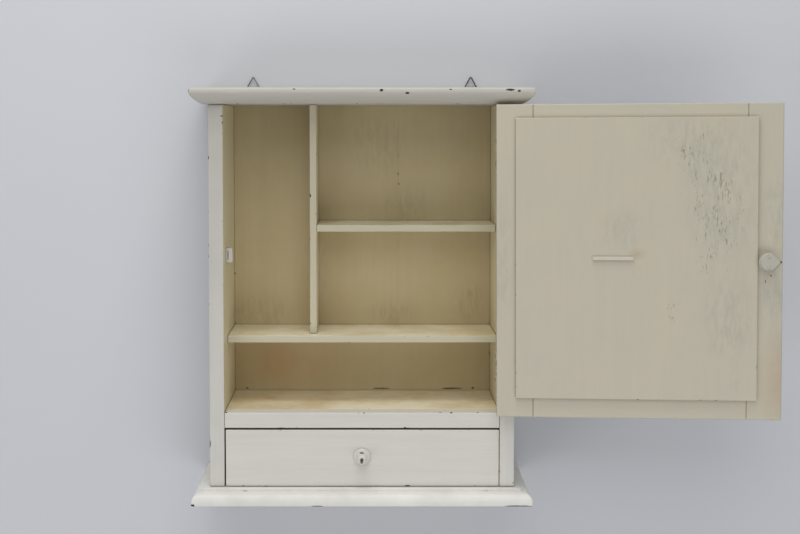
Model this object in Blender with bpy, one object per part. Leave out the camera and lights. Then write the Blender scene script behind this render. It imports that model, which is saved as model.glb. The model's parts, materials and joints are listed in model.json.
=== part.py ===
"""Wall-hung wooden medicine cabinet: carcass, mirror door, turn latch, drawer and hangers.

The cabinet is shown with its door swung wide open. Every dimension below is in millimetres:
x from the middle of the cabinet, y from the wall (forwards is negative), and heights up from
the underside of the base board. The function at() turns such a point into metres and moves
the origin to the middle of the back panel's rear face, on the wall.
"""

import math

import bmesh
import bpy
from mathutils import Matrix, Vector

MM = 0.001
GAP = 0.3  # left between neighbouring pieces
EASE = 0.8  # softened board edges

# Carcass
ORIGIN_HEIGHT = 281.5
DEPTH = 141.0
INNER_HALF = 188.0
OUTER_HALF = 208.0
BACK_THICK = 6.0
BACK_JOINT_X = 52.5  # the back is two boards that meet here
BASE_TOP = 20.0
OPENING_BOTTOM = 122.4
OPENING_TOP = 542.9
TOP_REAR = 4.0  # the top board stops short of the wall to make room for the hangers

# Base moulding
BASE_OVERHANG = 23.0
BASE_STEP = 9.0
ROUND_BOTTOM = 4.5
ROUND_RISE = 12.3
ROUND_IN = 10.7

# Top moulding
TOP_OVERHANG = 23.0
SWEEP_IN = 7.6
SWEEP_END = 557.4
SWEEP_FULLNESS = 1.3  # 1 is a straight bevel, 2 a quarter round
TOP_EDGE = 561.5
TOP_HEIGHT = 565.2
TOP_EDGE_IN = 3.2

# Shelves, divider, floor and rail
SHELF_THICK = 9.4
LOWER_SHELF_TOP = 220.3
LOWER_SETBACK = 42.0
UPPER_SHELF_TOP = 373.9
UPPER_SETBACK = 60.0
DIVIDER_LEFT = -73.4
DIVIDER_THICK = 9.3
FLOOR_THICK = 11.0
RAIL_THICK = 20.0
RAIL_BOTTOM = 101.2

# Door, drawn closed in the opening
DOOR_THICK = 20.0
DOOR_HINGE_EDGE = 186.0
DOOR_WIDTH = 372.5
DOOR_BOTTOM = 124.0
DOOR_TOP = 542.1
HINGE_STILE = 48.2
LATCH_STILE = 44.9
RAIL_WIDTH = 46.0
REBATE_WIDE = 8.0
REBATE_DEEP = 4.6
SIGHT_BEVEL = 5.0  # the frame slopes in to the mirror on its outer face
BOARD_HINGE_MARGIN = 25.2
BOARD_LATCH_MARGIN = 33.0
BOARD_TOP_MARGIN = 18.0
BOARD_BOTTOM_MARGIN = 26.5
BOARD_THICK = 5.0
STRIP_START = 125.6  # from the hinge edge
STRIP_LENGTH = 53.6
STRIP_WIDE = 5.0
STRIP_THICK = 2.4
STRIP_HEIGHT = 338.5

# Hinges: both pins lie on one line, which leans slightly off plumb
PIN_X = 183.7
PIN_FORWARD = 3.8  # in front of the carcass
PIN_LEAN = math.radians(0.18)
OPEN_ANGLE = math.radians(175.5)
HINGE_HEIGHTS = {"upper": 473.5, "lower": 187.5}
HINGE_LENGTH = 46.0
KNUCKLE_RADIUS = 3.2
KNUCKLE_SPLIT = 7.7
PIN_RADIUS = 1.3
LEAF_THICK = 1.4
LEAF_DEPTH = 16.0
LEAF_SCREW_SPREAD = 13.0
LEAF_SCREW_INSET = 9.0

# Countersunk screws
HEAD_RADIUS = 2.5
SHANK_RADIUS = 1.2
SCREW_LENGTH = 9.0
HEAD_DEEP = 1.4

# Turn latch and its keeper
LATCH_FROM_HINGE_EDGE = 351.4
LATCH_HEIGHT = 335.0
LATCH_RADIUS = 12.5
LATCH_REACH = 16.6
LATCH_TIP_RADIUS = 1.6
LATCH_STAND_OFF = 10.3
LATCH_THICK = 4.4
STUD_RISE = 7.3
SPINDLE_RADIUS = 3.5
LATCH_KNOB_LENGTH = 20.0
ROSE_THICK = 1.6
KEEPER_TALL = 19.4
KEEPER_LIP_BACK = 29.7  # behind the carcass front
KEEPER_THICK = 1.6
KEEPER_REACH = 9.3
KEEPER_LEAF_DEEP = 17.0
KEEPER_SLOT = 13.2

# Drawer
DRAWER_LEFT = -186.2
DRAWER_RIGHT = 187.2
DRAWER_BOTTOM = 20.5
DRAWER_TOP = 98.6
DRAWER_FRONT_THICK = 15.0
DRAWER_SIDE_THICK = 9.0
DRAWER_SIDE_TOP = 88.0
DRAWER_BACK_TOP = 78.0
PANEL_BOTTOM = 25.5
PANEL_THICK = 4.0
GROOVE_DEEP = 4.0
KNOB_HEIGHT = 62.0
KNOB_ROSE_RADIUS = 11.6
KNOB_HEAD_RADIUS = 6.8
KNOB_LENGTH = 18.0

# Hangers on the rear edge of the top board
HANGER_X = {"left": -159.5, "right": 158.5}
PIVOT_HEIGHT = 567.6
PIVOT_BACK = 2.0  # from the wall
WIRE_RADIUS = 0.9
RING_HALF_BASE = 10.4
RING_RISE = 16.9
RING_CORNER = 2.0
HANGER_THICK = 1.0
HANGER_WIDE = 11.0
HANGER_BOTTOM = 545.0
LOOP_HALF = 3.6
LOOP_THICK = 0.7
HANGER_SCREWS = {"low": 549.4, "high": 557.6}

FRONT = -DEPTH
PIN_Y = FRONT - PIN_FORWARD
HINGE_MIDDLE = sum(HINGE_HEIGHTS.values()) / 2
PIN_AXIS = Vector((-math.sin(PIN_LEAN), 0.0, math.cos(PIN_LEAN)))
DOOR_INNER = FRONT + DOOR_THICK
DOOR_FREE_EDGE = DOOR_HINGE_EDGE - DOOR_WIDTH
LATCH_X = DOOR_HINGE_EDGE - LATCH_FROM_HINGE_EDGE
DRAWER_MIDDLE = (DRAWER_LEFT + DRAWER_RIGHT) / 2


def at(x, y, height):
    """A point in millimetres and height above the base's underside, as metres."""
    return Vector((x, y, height - ORIGIN_HEIGHT)) * MM


def pin_point(height):
    """The point of the leaning hinge line at a height."""
    return at(PIN_X, PIN_Y, HINGE_MIDDLE) + PIN_AXIS * ((height - HINGE_MIDDLE) * MM)


def clear_scene():
    for obj in list(bpy.data.objects):
        bpy.data.objects.remove(obj)


def finish(name, colour, roughness, metallic=0.0):
    material = bpy.data.materials.new(name)
    material.use_nodes = True
    shader = material.node_tree.nodes["Principled BSDF"]
    shader.inputs["Base Color"].default_value = (*colour, 1.0)
    shader.inputs["Roughness"].default_value = roughness
    shader.inputs["Metallic"].default_value = metallic
    return material


def link(name, bm, material):
    """A new object at the world's origin from a bmesh, with its faces pointing out."""
    bmesh.ops.recalc_face_normals(bm, faces=bm.faces)
    mesh = bpy.data.meshes.new(name)
    bm.to_mesh(mesh)
    bm.free()
    if material:
        mesh.materials.append(material)
    obj = bpy.data.objects.new(name, mesh)
    bpy.context.scene.collection.objects.link(obj)
    return obj


def pivot(name, home, parent=None):
    """An empty on a joint's axis. Its children are placed as they lie before it turns."""
    empty = bpy.data.objects.new(name, None)
    bpy.context.scene.collection.objects.link(empty)
    empty["home"] = home
    empty.location = home - home_of(parent)
    empty.parent = parent
    return empty


def home_of(parent):
    return Vector(parent["home"]) if parent else Vector((0, 0, 0))


def set_origin(obj, origin, parent=None):
    """Puts the object's own origin at a point in metres, and hangs it under a pivot empty."""
    obj.data.transform(Matrix.Translation(-origin))
    obj.location = origin - home_of(parent)
    obj.parent = parent
    return obj


def ease_edges(obj, width=EASE):
    bevel = obj.modifiers.new("eased edges", "BEVEL")
    bevel.width = width * MM
    bevel.segments = 1
    bevel.limit_method = "ANGLE"
    return obj


def cut(obj, cutter, operation="DIFFERENCE"):
    """Takes a hidden guide's shape out of an object, or joins it on with UNION."""
    cutter.hide_render = True
    cutter.display_type = "WIRE"
    change = obj.modifiers.new(operation.lower(), "BOOLEAN")
    change.operation = operation
    change.solver = "EXACT"
    change.object = cutter


def block(name, low, high, material=None):
    """A plain box between two corners, each (x, y, height)."""
    bm = bmesh.new()
    bmesh.ops.create_cube(bm, size=1.0)
    low, high = at(*low), at(*high)
    size = high - low
    place = Matrix.Translation((low + high) / 2) @ Matrix.Diagonal((*size, 1.0))
    bmesh.ops.transform(bm, matrix=place, verts=bm.verts)
    return link(name, bm, material)


def board(name, low, high, material, parent=None, ease=EASE):
    """A sawn board with eased edges and its own origin at its middle."""
    obj = block(name, low, high, material)
    set_origin(obj, (at(*low) + at(*high)) / 2, parent)
    return ease_edges(obj, ease)


def rod(name, start, end, radius, material=None, sides=20):
    """A round bar between two points in metres."""
    bm = bmesh.new()
    bmesh.ops.create_cone(
        bm, cap_ends=True, segments=sides, radius1=radius * MM, radius2=radius * MM,
        depth=(end - start).length,
    )
    turn = (end - start).to_track_quat("Z", "Y").to_matrix().to_4x4()
    bmesh.ops.transform(bm, matrix=Matrix.Translation((start + end) / 2) @ turn, verts=bm.verts)
    return link(name, bm, material)


def turned(name, profile, foot, direction, material, sides=24):
    """A solid of revolution: profile is (radius, distance along direction from foot), from axis to axis."""
    bm = bmesh.new()
    line = [bm.verts.new((radius * MM, 0, reach * MM)) for radius, reach in profile]
    edges = [bm.edges.new(pair) for pair in zip(line, line[1:])]
    bmesh.ops.spin(
        bm, geom=line + edges, cent=(0, 0, 0), axis=(0, 0, 1), angle=math.tau, steps=sides,
        use_merge=True, use_duplicate=False,
    )
    bmesh.ops.remove_doubles(bm, verts=bm.verts, dist=1e-6)
    turn = direction.to_track_quat("Z", "Y").to_matrix().to_4x4()
    bmesh.ops.transform(bm, matrix=Matrix.Translation(foot) @ turn, verts=bm.verts)
    obj = link(name, bm, material)
    obj.data.shade_smooth()
    obj.data.set_sharp_from_angle(angle=math.radians(35))
    return obj


def prism(name, outline, start, along, across, up, material=None):
    """An outline of (across, up) millimetres, swept from start (metres) by the vector along."""
    bm = bmesh.new()
    points = [start + across * (a * MM) + up * (u * MM) for a, u in outline]
    face = bm.faces.new([bm.verts.new(p) for p in points])
    swept = bmesh.ops.extrude_face_region(bm, geom=[face])
    moved = [part for part in swept["geom"] if isinstance(part, bmesh.types.BMVert)]
    bmesh.ops.translate(bm, vec=along, verts=moved)
    return link(name, bm, material)


def screw(name, seat, inward, material, parent=None):
    """A slotted countersunk screw: seat is the middle of its head's face, inward its way into the wood."""
    profile = [
        (0.0, 0.0), (HEAD_RADIUS, 0.0), (HEAD_RADIUS, 0.25), (SHANK_RADIUS, HEAD_DEEP),
        (SHANK_RADIUS, SCREW_LENGTH - 2.0), (0.0, SCREW_LENGTH),
    ]
    obj = turned(name, profile, seat, inward, material, sides=12)
    bm = bmesh.new()
    bmesh.ops.create_cube(bm, size=MM)
    turn = inward.to_track_quat("Z", "Y").to_matrix().to_4x4()
    place = Matrix.Translation(seat) @ turn @ Matrix.Diagonal((0.7, 4 * HEAD_RADIUS, 1.1, 1.0))
    bmesh.ops.transform(bm, matrix=place, verts=bm.verts)
    slot = link(f"{name}_slot", bm, None)
    set_origin(obj, seat, parent)
    set_origin(slot, seat, parent)
    cut(obj, slot)
    return obj


def screw_hole(obj, name, seat, inward, parent=None):
    """A countersunk hole a little wider than the screw, through a leaf or into the wood."""
    start = -1.0
    profile = [
        (0.0, start), (HEAD_RADIUS + 0.3, start), (HEAD_RADIUS + 0.3, 0.3),
        (SHANK_RADIUS + 0.3, HEAD_DEEP + 0.1), (SHANK_RADIUS + 0.3, SCREW_LENGTH + 0.6),
        (0.0, SCREW_LENGTH + 0.6),
    ]
    cutter = turned(name, profile, seat, inward, None, sides=12)
    set_origin(cutter, seat, parent)
    cut(obj, cutter)


def quarter_levels(start, end, fullness, steps=8):
    """(height, overhang) points of a rounded sweep: height runs start to end, overhang the other way.

    With u = cos(t)^(2/fullness) and v = sin(t)^(2/fullness), the point is that share of the way
    along each axis, so a fullness of 2 is a quarter of an ellipse and 1 a straight line.
    """
    (height_0, over_0), (height_1, over_1) = start, end
    levels = []
    for step in range(steps + 1):
        t = math.pi / 2 * step / steps
        u, v = (abs(f(t)) ** (2 / fullness) for f in (math.cos, math.sin))
        levels.append((height_0 + (height_1 - height_0) * v, over_1 + (over_0 - over_1) * u))
    return levels


def lofted(name, rings, material):
    """A closed solid through rings of points (metres), each with as many points, capped at both ends."""
    bm = bmesh.new()
    loops = [[bm.verts.new(point) for point in ring] for ring in rings]
    for loop in (loops[0], loops[-1]):
        bm.faces.new(loop)
    for below, above in zip(loops, loops[1:]):
        for k in range(len(below)):
            after = (k + 1) % len(below)
            bm.faces.new([below[k], below[after], above[after], above[k]])
    return link(name, bm, material)


def moulded_board(name, levels, rear, material):
    """A board moulded on its front and two ends: each level is a rectangle with its own overhang."""
    rings = []
    for height, overhang in levels:
        half, front = OUTER_HALF + overhang, FRONT - overhang
        corners = [(-half, -rear), (-half, front), (half, front), (half, -rear)]
        rings.append([at(x, y, height) for x, y in corners])
    obj = lofted(name, rings, material)
    return set_origin(obj, at(0, FRONT / 2, (levels[0][0] + levels[-1][0]) / 2))


def make_carcass(paint, steel):
    base_levels = [(0.0, BASE_OVERHANG - 0.7), (0.7, BASE_OVERHANG)]
    base_levels += quarter_levels(
        (ROUND_BOTTOM, BASE_OVERHANG), (ROUND_BOTTOM + ROUND_RISE, ROUND_IN), 2.0
    )
    base_levels += [
        (ROUND_BOTTOM + ROUND_RISE, BASE_STEP), (BASE_TOP - 0.6, BASE_STEP), (BASE_TOP, BASE_STEP - 0.6),
    ]
    moulded_board("base_board", base_levels, 0.0, paint)

    sweep = quarter_levels((SWEEP_END, TOP_OVERHANG - 0.2), (OPENING_TOP + 0.7, SWEEP_IN), SWEEP_FULLNESS)
    top_levels = [(OPENING_TOP, SWEEP_IN)] + sweep[::-1] + [(TOP_EDGE - 0.3, TOP_OVERHANG)]
    top_levels += quarter_levels(
        (TOP_EDGE, TOP_OVERHANG - 0.1), (TOP_HEIGHT, TOP_OVERHANG - TOP_EDGE_IN), 2.0, steps=4
    )
    moulded_board("top_board", top_levels, TOP_REAR, paint)

    low, high = BASE_TOP + GAP, OPENING_TOP - GAP
    left = board("side_left", (-OUTER_HALF, FRONT, low), (-INNER_HALF, 0, high), paint)
    right = board("side_right", (INNER_HALF, FRONT, low), (OUTER_HALF, 0, high), paint)

    inner = INNER_HALF - GAP
    shelf_back = -BACK_THICK - GAP
    board("back_panel_left", (-inner, -BACK_THICK, low), (BACK_JOINT_X - GAP / 2, 0, high), paint, ease=0.4)
    board("back_panel_right", (BACK_JOINT_X + GAP / 2, -BACK_THICK, low), (inner, 0, high), paint, ease=0.4)

    board("drawer_rail", (-inner, FRONT, RAIL_BOTTOM), (inner, FRONT + RAIL_THICK, OPENING_BOTTOM), paint)
    board(
        "compartment_floor",
        (-inner, FRONT + RAIL_THICK + GAP, OPENING_BOTTOM - FLOOR_THICK),
        (inner, shelf_back, OPENING_BOTTOM), paint, ease=0.5,
    )
    board(
        "lower_shelf",
        (-inner, FRONT + LOWER_SETBACK, LOWER_SHELF_TOP - SHELF_THICK),
        (inner, shelf_back, LOWER_SHELF_TOP), paint,
    )
    divider_right = DIVIDER_LEFT + DIVIDER_THICK
    board(
        "divider",
        (DIVIDER_LEFT, FRONT + UPPER_SETBACK, LOWER_SHELF_TOP + GAP),
        (divider_right, shelf_back, high), paint,
    )
    board(
        "upper_shelf",
        (divider_right + GAP, FRONT + UPPER_SETBACK, UPPER_SHELF_TOP - SHELF_THICK),
        (inner, shelf_back, UPPER_SHELF_TOP), paint,
    )
    make_keeper(left, paint, steel)
    return right


def make_keeper(side, paint, steel):
    """A bent plate: a leaf screwed to the side, and a slotted lip that the latch's nose hooks behind."""
    wall = -INNER_HALF + GAP
    lip_back = FRONT + KEEPER_LIP_BACK
    bottom, top = LATCH_HEIGHT - KEEPER_TALL / 2, LATCH_HEIGHT + KEEPER_TALL / 2
    outline = [
        (0, 0), (KEEPER_REACH - GAP, 0), (KEEPER_REACH - GAP, KEEPER_THICK), (KEEPER_THICK, KEEPER_THICK),
        (KEEPER_THICK, KEEPER_LEAF_DEEP), (0, KEEPER_LEAF_DEEP),
    ]
    corner = at(wall, lip_back - KEEPER_THICK, bottom)
    keeper = prism(
        "latch_keeper", outline, corner, Vector((0, 0, (top - bottom) * MM)),
        Vector((1, 0, 0)), Vector((0, 1, 0)), paint,
    )
    set_origin(keeper, corner)
    half_slot = KEEPER_SLOT / 2
    cut(keeper, block(
        "keeper_slot",
        (wall + KEEPER_THICK + 0.2, lip_back - 3 * KEEPER_THICK, LATCH_HEIGHT - half_slot),
        (wall + KEEPER_THICK + 2.0, lip_back + 0.5, LATCH_HEIGHT + half_slot),
    ))
    seat = at(wall + KEEPER_THICK - 0.1, lip_back + KEEPER_LEAF_DEEP / 2 - 1.0, LATCH_HEIGHT)
    inward = Vector((-1, 0, 0))
    screw_hole(keeper, "keeper_screw_hole", seat, inward)
    screw_hole(side, "keeper_screw_pilot", seat, inward)
    screw("keeper_screw", seat, inward, steel)


def hinge_leaf(name, height, side, wood, knuckles, strap, parent, material):
    """A hinge leaf let into the wood, with its recess, its pilot holes and its two screws.

    side holds the plate's lowest x and which way its screws run. knuckles holds (low, high)
    offsets from the hinge's middle, and strap is the (x, y) outline, measured from the pin,
    of what joins the plate to the knuckles.
    """
    plate_x, way = side
    inward = Vector((way, 0, 0))
    middle = pin_point(height)
    shift = middle.x / MM - PIN_X
    half = HINGE_LENGTH / 2
    x_low, x_high = plate_x + shift, plate_x + shift + LEAF_THICK
    leaf = block(name, (x_low, FRONT, height - half), (x_high, FRONT + LEAF_DEPTH, height + half), material)
    for k, (start, end) in enumerate(knuckles):
        barrel = rod(
            f"{name}_knuckle_{k}", middle + PIN_AXIS * (start * MM), middle + PIN_AXIS * (end * MM),
            KNUCKLE_RADIUS, sides=16,
        )
        bridge = prism(
            f"{name}_strap_{k}", strap, at(PIN_X + shift, PIN_Y, height + start),
            Vector((0, 0, (end - start) * MM)), Vector((1, 0, 0)), Vector((0, 1, 0)),
        )
        for piece in (barrel, bridge):
            set_origin(piece, middle, parent)
            cut(leaf, piece, "UNION")
    reach = PIN_AXIS * (HINGE_LENGTH * MM)
    bore = rod(f"{name}_bore", middle - reach, middle + reach, PIN_RADIUS + GAP, sides=16)
    set_origin(bore, middle, parent)
    cut(leaf, bore)
    set_origin(leaf, middle, parent)

    wood_low, wood_high = (x_low - 5, x_high + GAP) if way > 0 else (x_low - GAP, x_high + 5)
    recess = block(
        f"{name}_recess", (wood_low, FRONT - 5, height - half - GAP),
        (wood_high, FRONT + LEAF_DEPTH + GAP, height + half + GAP),
    )
    set_origin(recess, middle, parent)
    cut(wood, recess)
    for label, rise in (("low", -LEAF_SCREW_SPREAD), ("high", LEAF_SCREW_SPREAD)):
        face_x = x_low if way > 0 else x_high
        seat = at(face_x, FRONT + LEAF_SCREW_INSET, height + rise) + inward * (0.1 * MM)
        screw_hole(leaf, f"{name}_hole_{label}", seat, inward, parent)
        screw_hole(wood, f"{name}_pilot_{label}", seat, inward, parent)
        screw(f"{name}_screw_{label}", seat, inward, material, parent)


def make_hinges(side, stile, door, brass):
    """Two butt hinges, each with a leaf on the side, a leaf on the door and a loose pin."""
    half = HINGE_LENGTH / 2
    side_plate, door_plate = INNER_HALF - 0.7, DOOR_HINGE_EDGE - 1.0
    near, far = side_plate - PIN_X, side_plate - PIN_X + LEAF_THICK
    root = PIN_FORWARD + 1.0
    side_strap = [(1.8, -1.3), (far, -1.3), (far, root), (near, root), (near, 1.3), (1.8, 1.3)]
    near, far = door_plate - PIN_X, door_plate - PIN_X + LEAF_THICK
    door_strap = [(near, 1.0), (far, 1.0), (far, root), (near, root)]
    for label, height in HINGE_HEIGHTS.items():
        outer_knuckles = [(-half, -KNUCKLE_SPLIT - GAP), (KNUCKLE_SPLIT + GAP, half)]
        hinge_leaf(
            f"hinge_{label}_side_leaf", height, (side_plate, 1), side, outer_knuckles, side_strap, None, brass
        )
        hinge_leaf(
            f"hinge_{label}_door_leaf", height, (door_plate, -1), stile,
            [(-KNUCKLE_SPLIT, KNUCKLE_SPLIT)], door_strap, door, brass,
        )
        middle = pin_point(height)
        reach = PIN_AXIS * ((half + 1.0) * MM)
        pin = rod(f"hinge_{label}_pin", middle - reach, middle + reach, PIN_RADIUS, brass, sides=16)
        set_origin(pin, middle)


def make_door(door, paint, glass):
    """A rebated frame of two stiles and two rails, the mirror in the rebate and a thin board over its back."""
    left, right = DOOR_FREE_EDGE, DOOR_HINGE_EDGE
    sight_left, sight_right = left + LATCH_STILE, right - HINGE_STILE
    sight_low, sight_high = DOOR_BOTTOM + RAIL_WIDTH, DOOR_TOP - RAIL_WIDTH
    latch_stile = board(
        "door_stile_latch", (left, FRONT, DOOR_BOTTOM), (sight_left, DOOR_INNER, DOOR_TOP), paint, door
    )
    hinge_stile = board(
        "door_stile_hinge", (sight_right, FRONT, DOOR_BOTTOM), (right, DOOR_INNER, DOOR_TOP), paint, door
    )
    rails = [
        board(
            name, (sight_left + GAP, FRONT, low), (sight_right - GAP, DOOR_INNER, high), paint, door
        )
        for name, low, high in (
            ("door_rail_top", sight_high, DOOR_TOP),
            ("door_rail_bottom", DOOR_BOTTOM, sight_low),
        )
    ]
    rebate_low = (sight_left - REBATE_WIDE, DOOR_INNER - REBATE_DEEP, sight_low - REBATE_WIDE)
    rebate_high = (sight_right + REBATE_WIDE, DOOR_INNER + 3, sight_high + REBATE_WIDE)
    rebate = block("mirror_rebate", rebate_low, rebate_high)
    set_origin(rebate, at(PIN_X, PIN_Y, HINGE_MIDDLE), door)
    bevel_rings = []
    for depth, spread in ((-1.0, SIGHT_BEVEL + 1.0), (SIGHT_BEVEL, 0.0)):
        x_low, x_high = sight_left - spread, sight_right + spread
        z_low, z_high = sight_low - spread, sight_high + spread
        corners = [(x_low, z_low), (x_high, z_low), (x_high, z_high), (x_low, z_high)]
        bevel_rings.append([at(x, FRONT + depth, z) for x, z in corners])
    bevel = set_origin(lofted("sight_bevel", bevel_rings, None), at(PIN_X, PIN_Y, HINGE_MIDDLE), door)
    for piece in (latch_stile, hinge_stile, *rails):
        cut(piece, rebate)
        cut(piece, bevel)
    board(
        "mirror_glass",
        tuple(v + GAP for v in rebate_low),
        (rebate_high[0] - GAP, DOOR_INNER - GAP, rebate_high[2] - GAP),
        glass, door, ease=0.4,
    )
    board_left, board_right = left + BOARD_LATCH_MARGIN, right - BOARD_HINGE_MARGIN
    board_face = DOOR_INNER + GAP + BOARD_THICK
    board(
        "door_back_board",
        (board_left, DOOR_INNER + GAP, DOOR_BOTTOM + BOARD_BOTTOM_MARGIN),
        (board_right, board_face, DOOR_TOP - BOARD_TOP_MARGIN),
        paint, door, ease=0.7,
    )
    strip_right = right - STRIP_START
    board(
        "door_board_strip",
        (strip_right - STRIP_LENGTH, board_face + GAP, STRIP_HEIGHT - STRIP_WIDE / 2),
        (strip_right, board_face + GAP + STRIP_THICK, STRIP_HEIGHT + STRIP_WIDE / 2),
        paint, door, ease=0.9,
    )
    return latch_stile, hinge_stile


def latch_ring(back, inset, depth):
    """One outline of the nosed disc: its big circle, the nose's small circle and their tangents.

    Both circles are inset by the same amount, so the tangents keep their slope. back is the
    middle of the disc's rear face, and depth how far in front of it the outline lies.
    """
    reach = LATCH_REACH - LATCH_TIP_RADIUS
    tangent = math.acos((LATCH_RADIUS - LATCH_TIP_RADIUS) / reach)
    disc_steps, tip_steps = 26, 5
    angles = [-math.pi + tangent + 2 * (math.pi - tangent) * k / disc_steps for k in range(disc_steps + 1)]
    arcs = [(angle, LATCH_RADIUS - inset, 0.0) for angle in angles]
    angles = [math.pi - tangent + 2 * tangent * k / tip_steps for k in range(tip_steps + 1)]
    arcs += [(angle, LATCH_TIP_RADIUS - inset, -reach) for angle in angles]
    return [
        back + Vector((radius * math.cos(angle) + middle, depth, radius * math.sin(angle))) * MM
        for angle, radius, middle in arcs
    ]


def make_latch(latch, door, stile, paint, steel):
    """The turn latch: a knob outside, a spindle through the stile and a nosed disc inside."""
    inward = Vector((0, 1, 0))
    centre_outer = at(LATCH_X, FRONT, LATCH_HEIGHT)
    disc_back = DOOR_INNER + LATCH_STAND_OFF
    start = at(LATCH_X, disc_back, LATCH_HEIGHT)
    rim = [(0.0, 0.6), (0.6, 0.0), (LATCH_THICK - 1.6, 0.0), (LATCH_THICK - 0.6, 0.5), (LATCH_THICK, 1.35)]
    disc = lofted("latch_disc", [latch_ring(start, inset, depth) for depth, inset in rim], paint)
    set_origin(disc, start, latch)

    spindle_start = centre_outer - inward * (11.0 * MM)
    spindle_end = start + inward * (2.2 * MM)
    socket = rod(
        "disc_socket", start - inward * MM, spindle_end + inward * (GAP * MM), SPINDLE_RADIUS + GAP
    )
    set_origin(socket, start, latch)
    cut(disc, socket)
    spindle = rod("latch_spindle", spindle_start, spindle_end, SPINDLE_RADIUS, steel)
    set_origin(spindle, start, latch)

    bore = rod(
        "spindle_bore", centre_outer - inward * (5 * MM), centre_outer + inward * (30 * MM), SPINDLE_RADIUS + GAP
    )
    set_origin(bore, centre_outer, door)
    cut(stile, bore)
    rose_foot = centre_outer - inward * (GAP * MM)
    rose = turned(
        "latch_rose",
        [(0, 0), (11.0, 0), (11.0, 0.6), (10.0, ROSE_THICK), (0, ROSE_THICK)],
        rose_foot, -inward, paint,
    )
    set_origin(rose, centre_outer, door)
    cut(rose, bore)

    knob_foot = rose_foot - inward * ((ROSE_THICK + GAP) * MM)
    neck = SPINDLE_RADIUS + GAP
    knob_bore = 11.0 - (ROSE_THICK + 2 * GAP) + GAP
    knob_profile = [
        (0, knob_bore), (neck, knob_bore), (neck, 0), (6.2, 0), (6.0, 4.0), (6.6, 7.0), (9.8, 9.5), (11.4, 13.0),
        (10.6, 16.5), (7.4, 19.2), (3.4, LATCH_KNOB_LENGTH), (0, LATCH_KNOB_LENGTH + 0.2),
    ]
    knob = turned("latch_knob", knob_profile, knob_foot, -inward, paint)
    set_origin(knob, start, latch)

    face = disc_back + LATCH_THICK
    for label, rise in (("upper", STUD_RISE), ("lower", -STUD_RISE)):
        foot = at(LATCH_X, face - 3.0, LATCH_HEIGHT + rise)
        hole = rod(f"stud_hole_{label}", foot - inward * (3 * MM), foot + inward * (9 * MM), 1.3, sides=12)
        set_origin(hole, start, latch)
        cut(disc, hole)
        profile = [(0, 0), (1.0, 0), (1.0, 3.2), (2.0, 3.2), (1.7, 3.7), (0, 4.0)]
        stud = turned(f"latch_stud_{label}", profile, foot, inward, steel, sides=14)
        set_origin(stud, start, latch)


def make_drawer(drawer, paint, raw_wood, steel):
    """A nailed box with a front, its bottom panel in grooves, and a turned knob screwed on from inside."""
    front_back = FRONT + DRAWER_FRONT_THICK
    rear = -BACK_THICK - 2 * GAP
    front = board(
        "drawer_front", (DRAWER_LEFT, FRONT, DRAWER_BOTTOM), (DRAWER_RIGHT, front_back, DRAWER_TOP), paint, drawer
    )
    box_low, box_front = DRAWER_BOTTOM + 0.2, front_back + GAP
    left = board(
        "drawer_side_left", (DRAWER_LEFT, box_front, box_low),
        (DRAWER_LEFT + DRAWER_SIDE_THICK, rear, DRAWER_SIDE_TOP), raw_wood, drawer, ease=0.5,
    )
    right = board(
        "drawer_side_right", (DRAWER_RIGHT - DRAWER_SIDE_THICK, box_front, box_low),
        (DRAWER_RIGHT, rear, DRAWER_SIDE_TOP), raw_wood, drawer, ease=0.5,
    )
    inside_left, inside_right = DRAWER_LEFT + DRAWER_SIDE_THICK, DRAWER_RIGHT - DRAWER_SIDE_THICK
    board(
        "drawer_back", (inside_left + GAP, rear - DRAWER_SIDE_THICK, PANEL_BOTTOM + PANEL_THICK + 2 * GAP),
        (inside_right - GAP, rear, DRAWER_BACK_TOP), raw_wood, drawer, ease=0.5,
    )
    panel_low = (inside_left - GROOVE_DEEP + GAP, front_back - GROOVE_DEEP + GAP, PANEL_BOTTOM)
    panel_high = (inside_right + GROOVE_DEEP - GAP, rear, PANEL_BOTTOM + PANEL_THICK)
    board("drawer_bottom", panel_low, panel_high, raw_wood, drawer, ease=0.3)
    groove = block(
        "drawer_groove", tuple(v - GAP for v in panel_low),
        (panel_high[0] + GAP, panel_high[1] + 5, panel_high[2] + GAP),
    )
    set_origin(groove, at(*panel_low), drawer)
    for piece in (front, left, right):
        cut(piece, groove)

    outward = Vector((0, -1, 0))
    foot = at(0, FRONT - GAP, KNOB_HEIGHT)
    screw_reach = 10.0
    knob_profile = [
        (0, screw_reach), (1.6, screw_reach), (1.6, 0), (KNOB_ROSE_RADIUS - 0.6, 0), (KNOB_ROSE_RADIUS, 0.8),
        (KNOB_ROSE_RADIUS - 0.8, 2.2), (8.2, 3.6), (5.4, 4.4), (4.9, 5.6), (5.6, 7.0), (6.6, 9.0),
        (KNOB_HEAD_RADIUS, 12.0), (6.4, 15.2), (5.2, 17.2), (3.4, KNOB_LENGTH), (2.4, KNOB_LENGTH - 0.4),
        (1.6, KNOB_LENGTH - 1.6), (0, KNOB_LENGTH - 1.9),
    ]
    knob = turned("drawer_knob", knob_profile, foot, outward, paint)
    set_origin(knob, foot, drawer)

    head = at(0, front_back, KNOB_HEIGHT)
    hole = rod("knob_screw_hole", head - outward * (5 * MM), head + outward * (25 * MM), 1.6, sides=12)
    set_origin(hole, foot, drawer)
    cut(front, hole)
    length = DRAWER_FRONT_THICK + GAP + screw_reach - 0.6
    profile = [(0, -2.2), (2.6, -2.0), (3.2, -GAP), (1.2, -GAP), (1.2, length - 2), (0, length)]
    knob_screw = turned("drawer_knob_screw", profile, head, outward, steel, sides=14)
    set_origin(knob_screw, foot, drawer)


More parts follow.
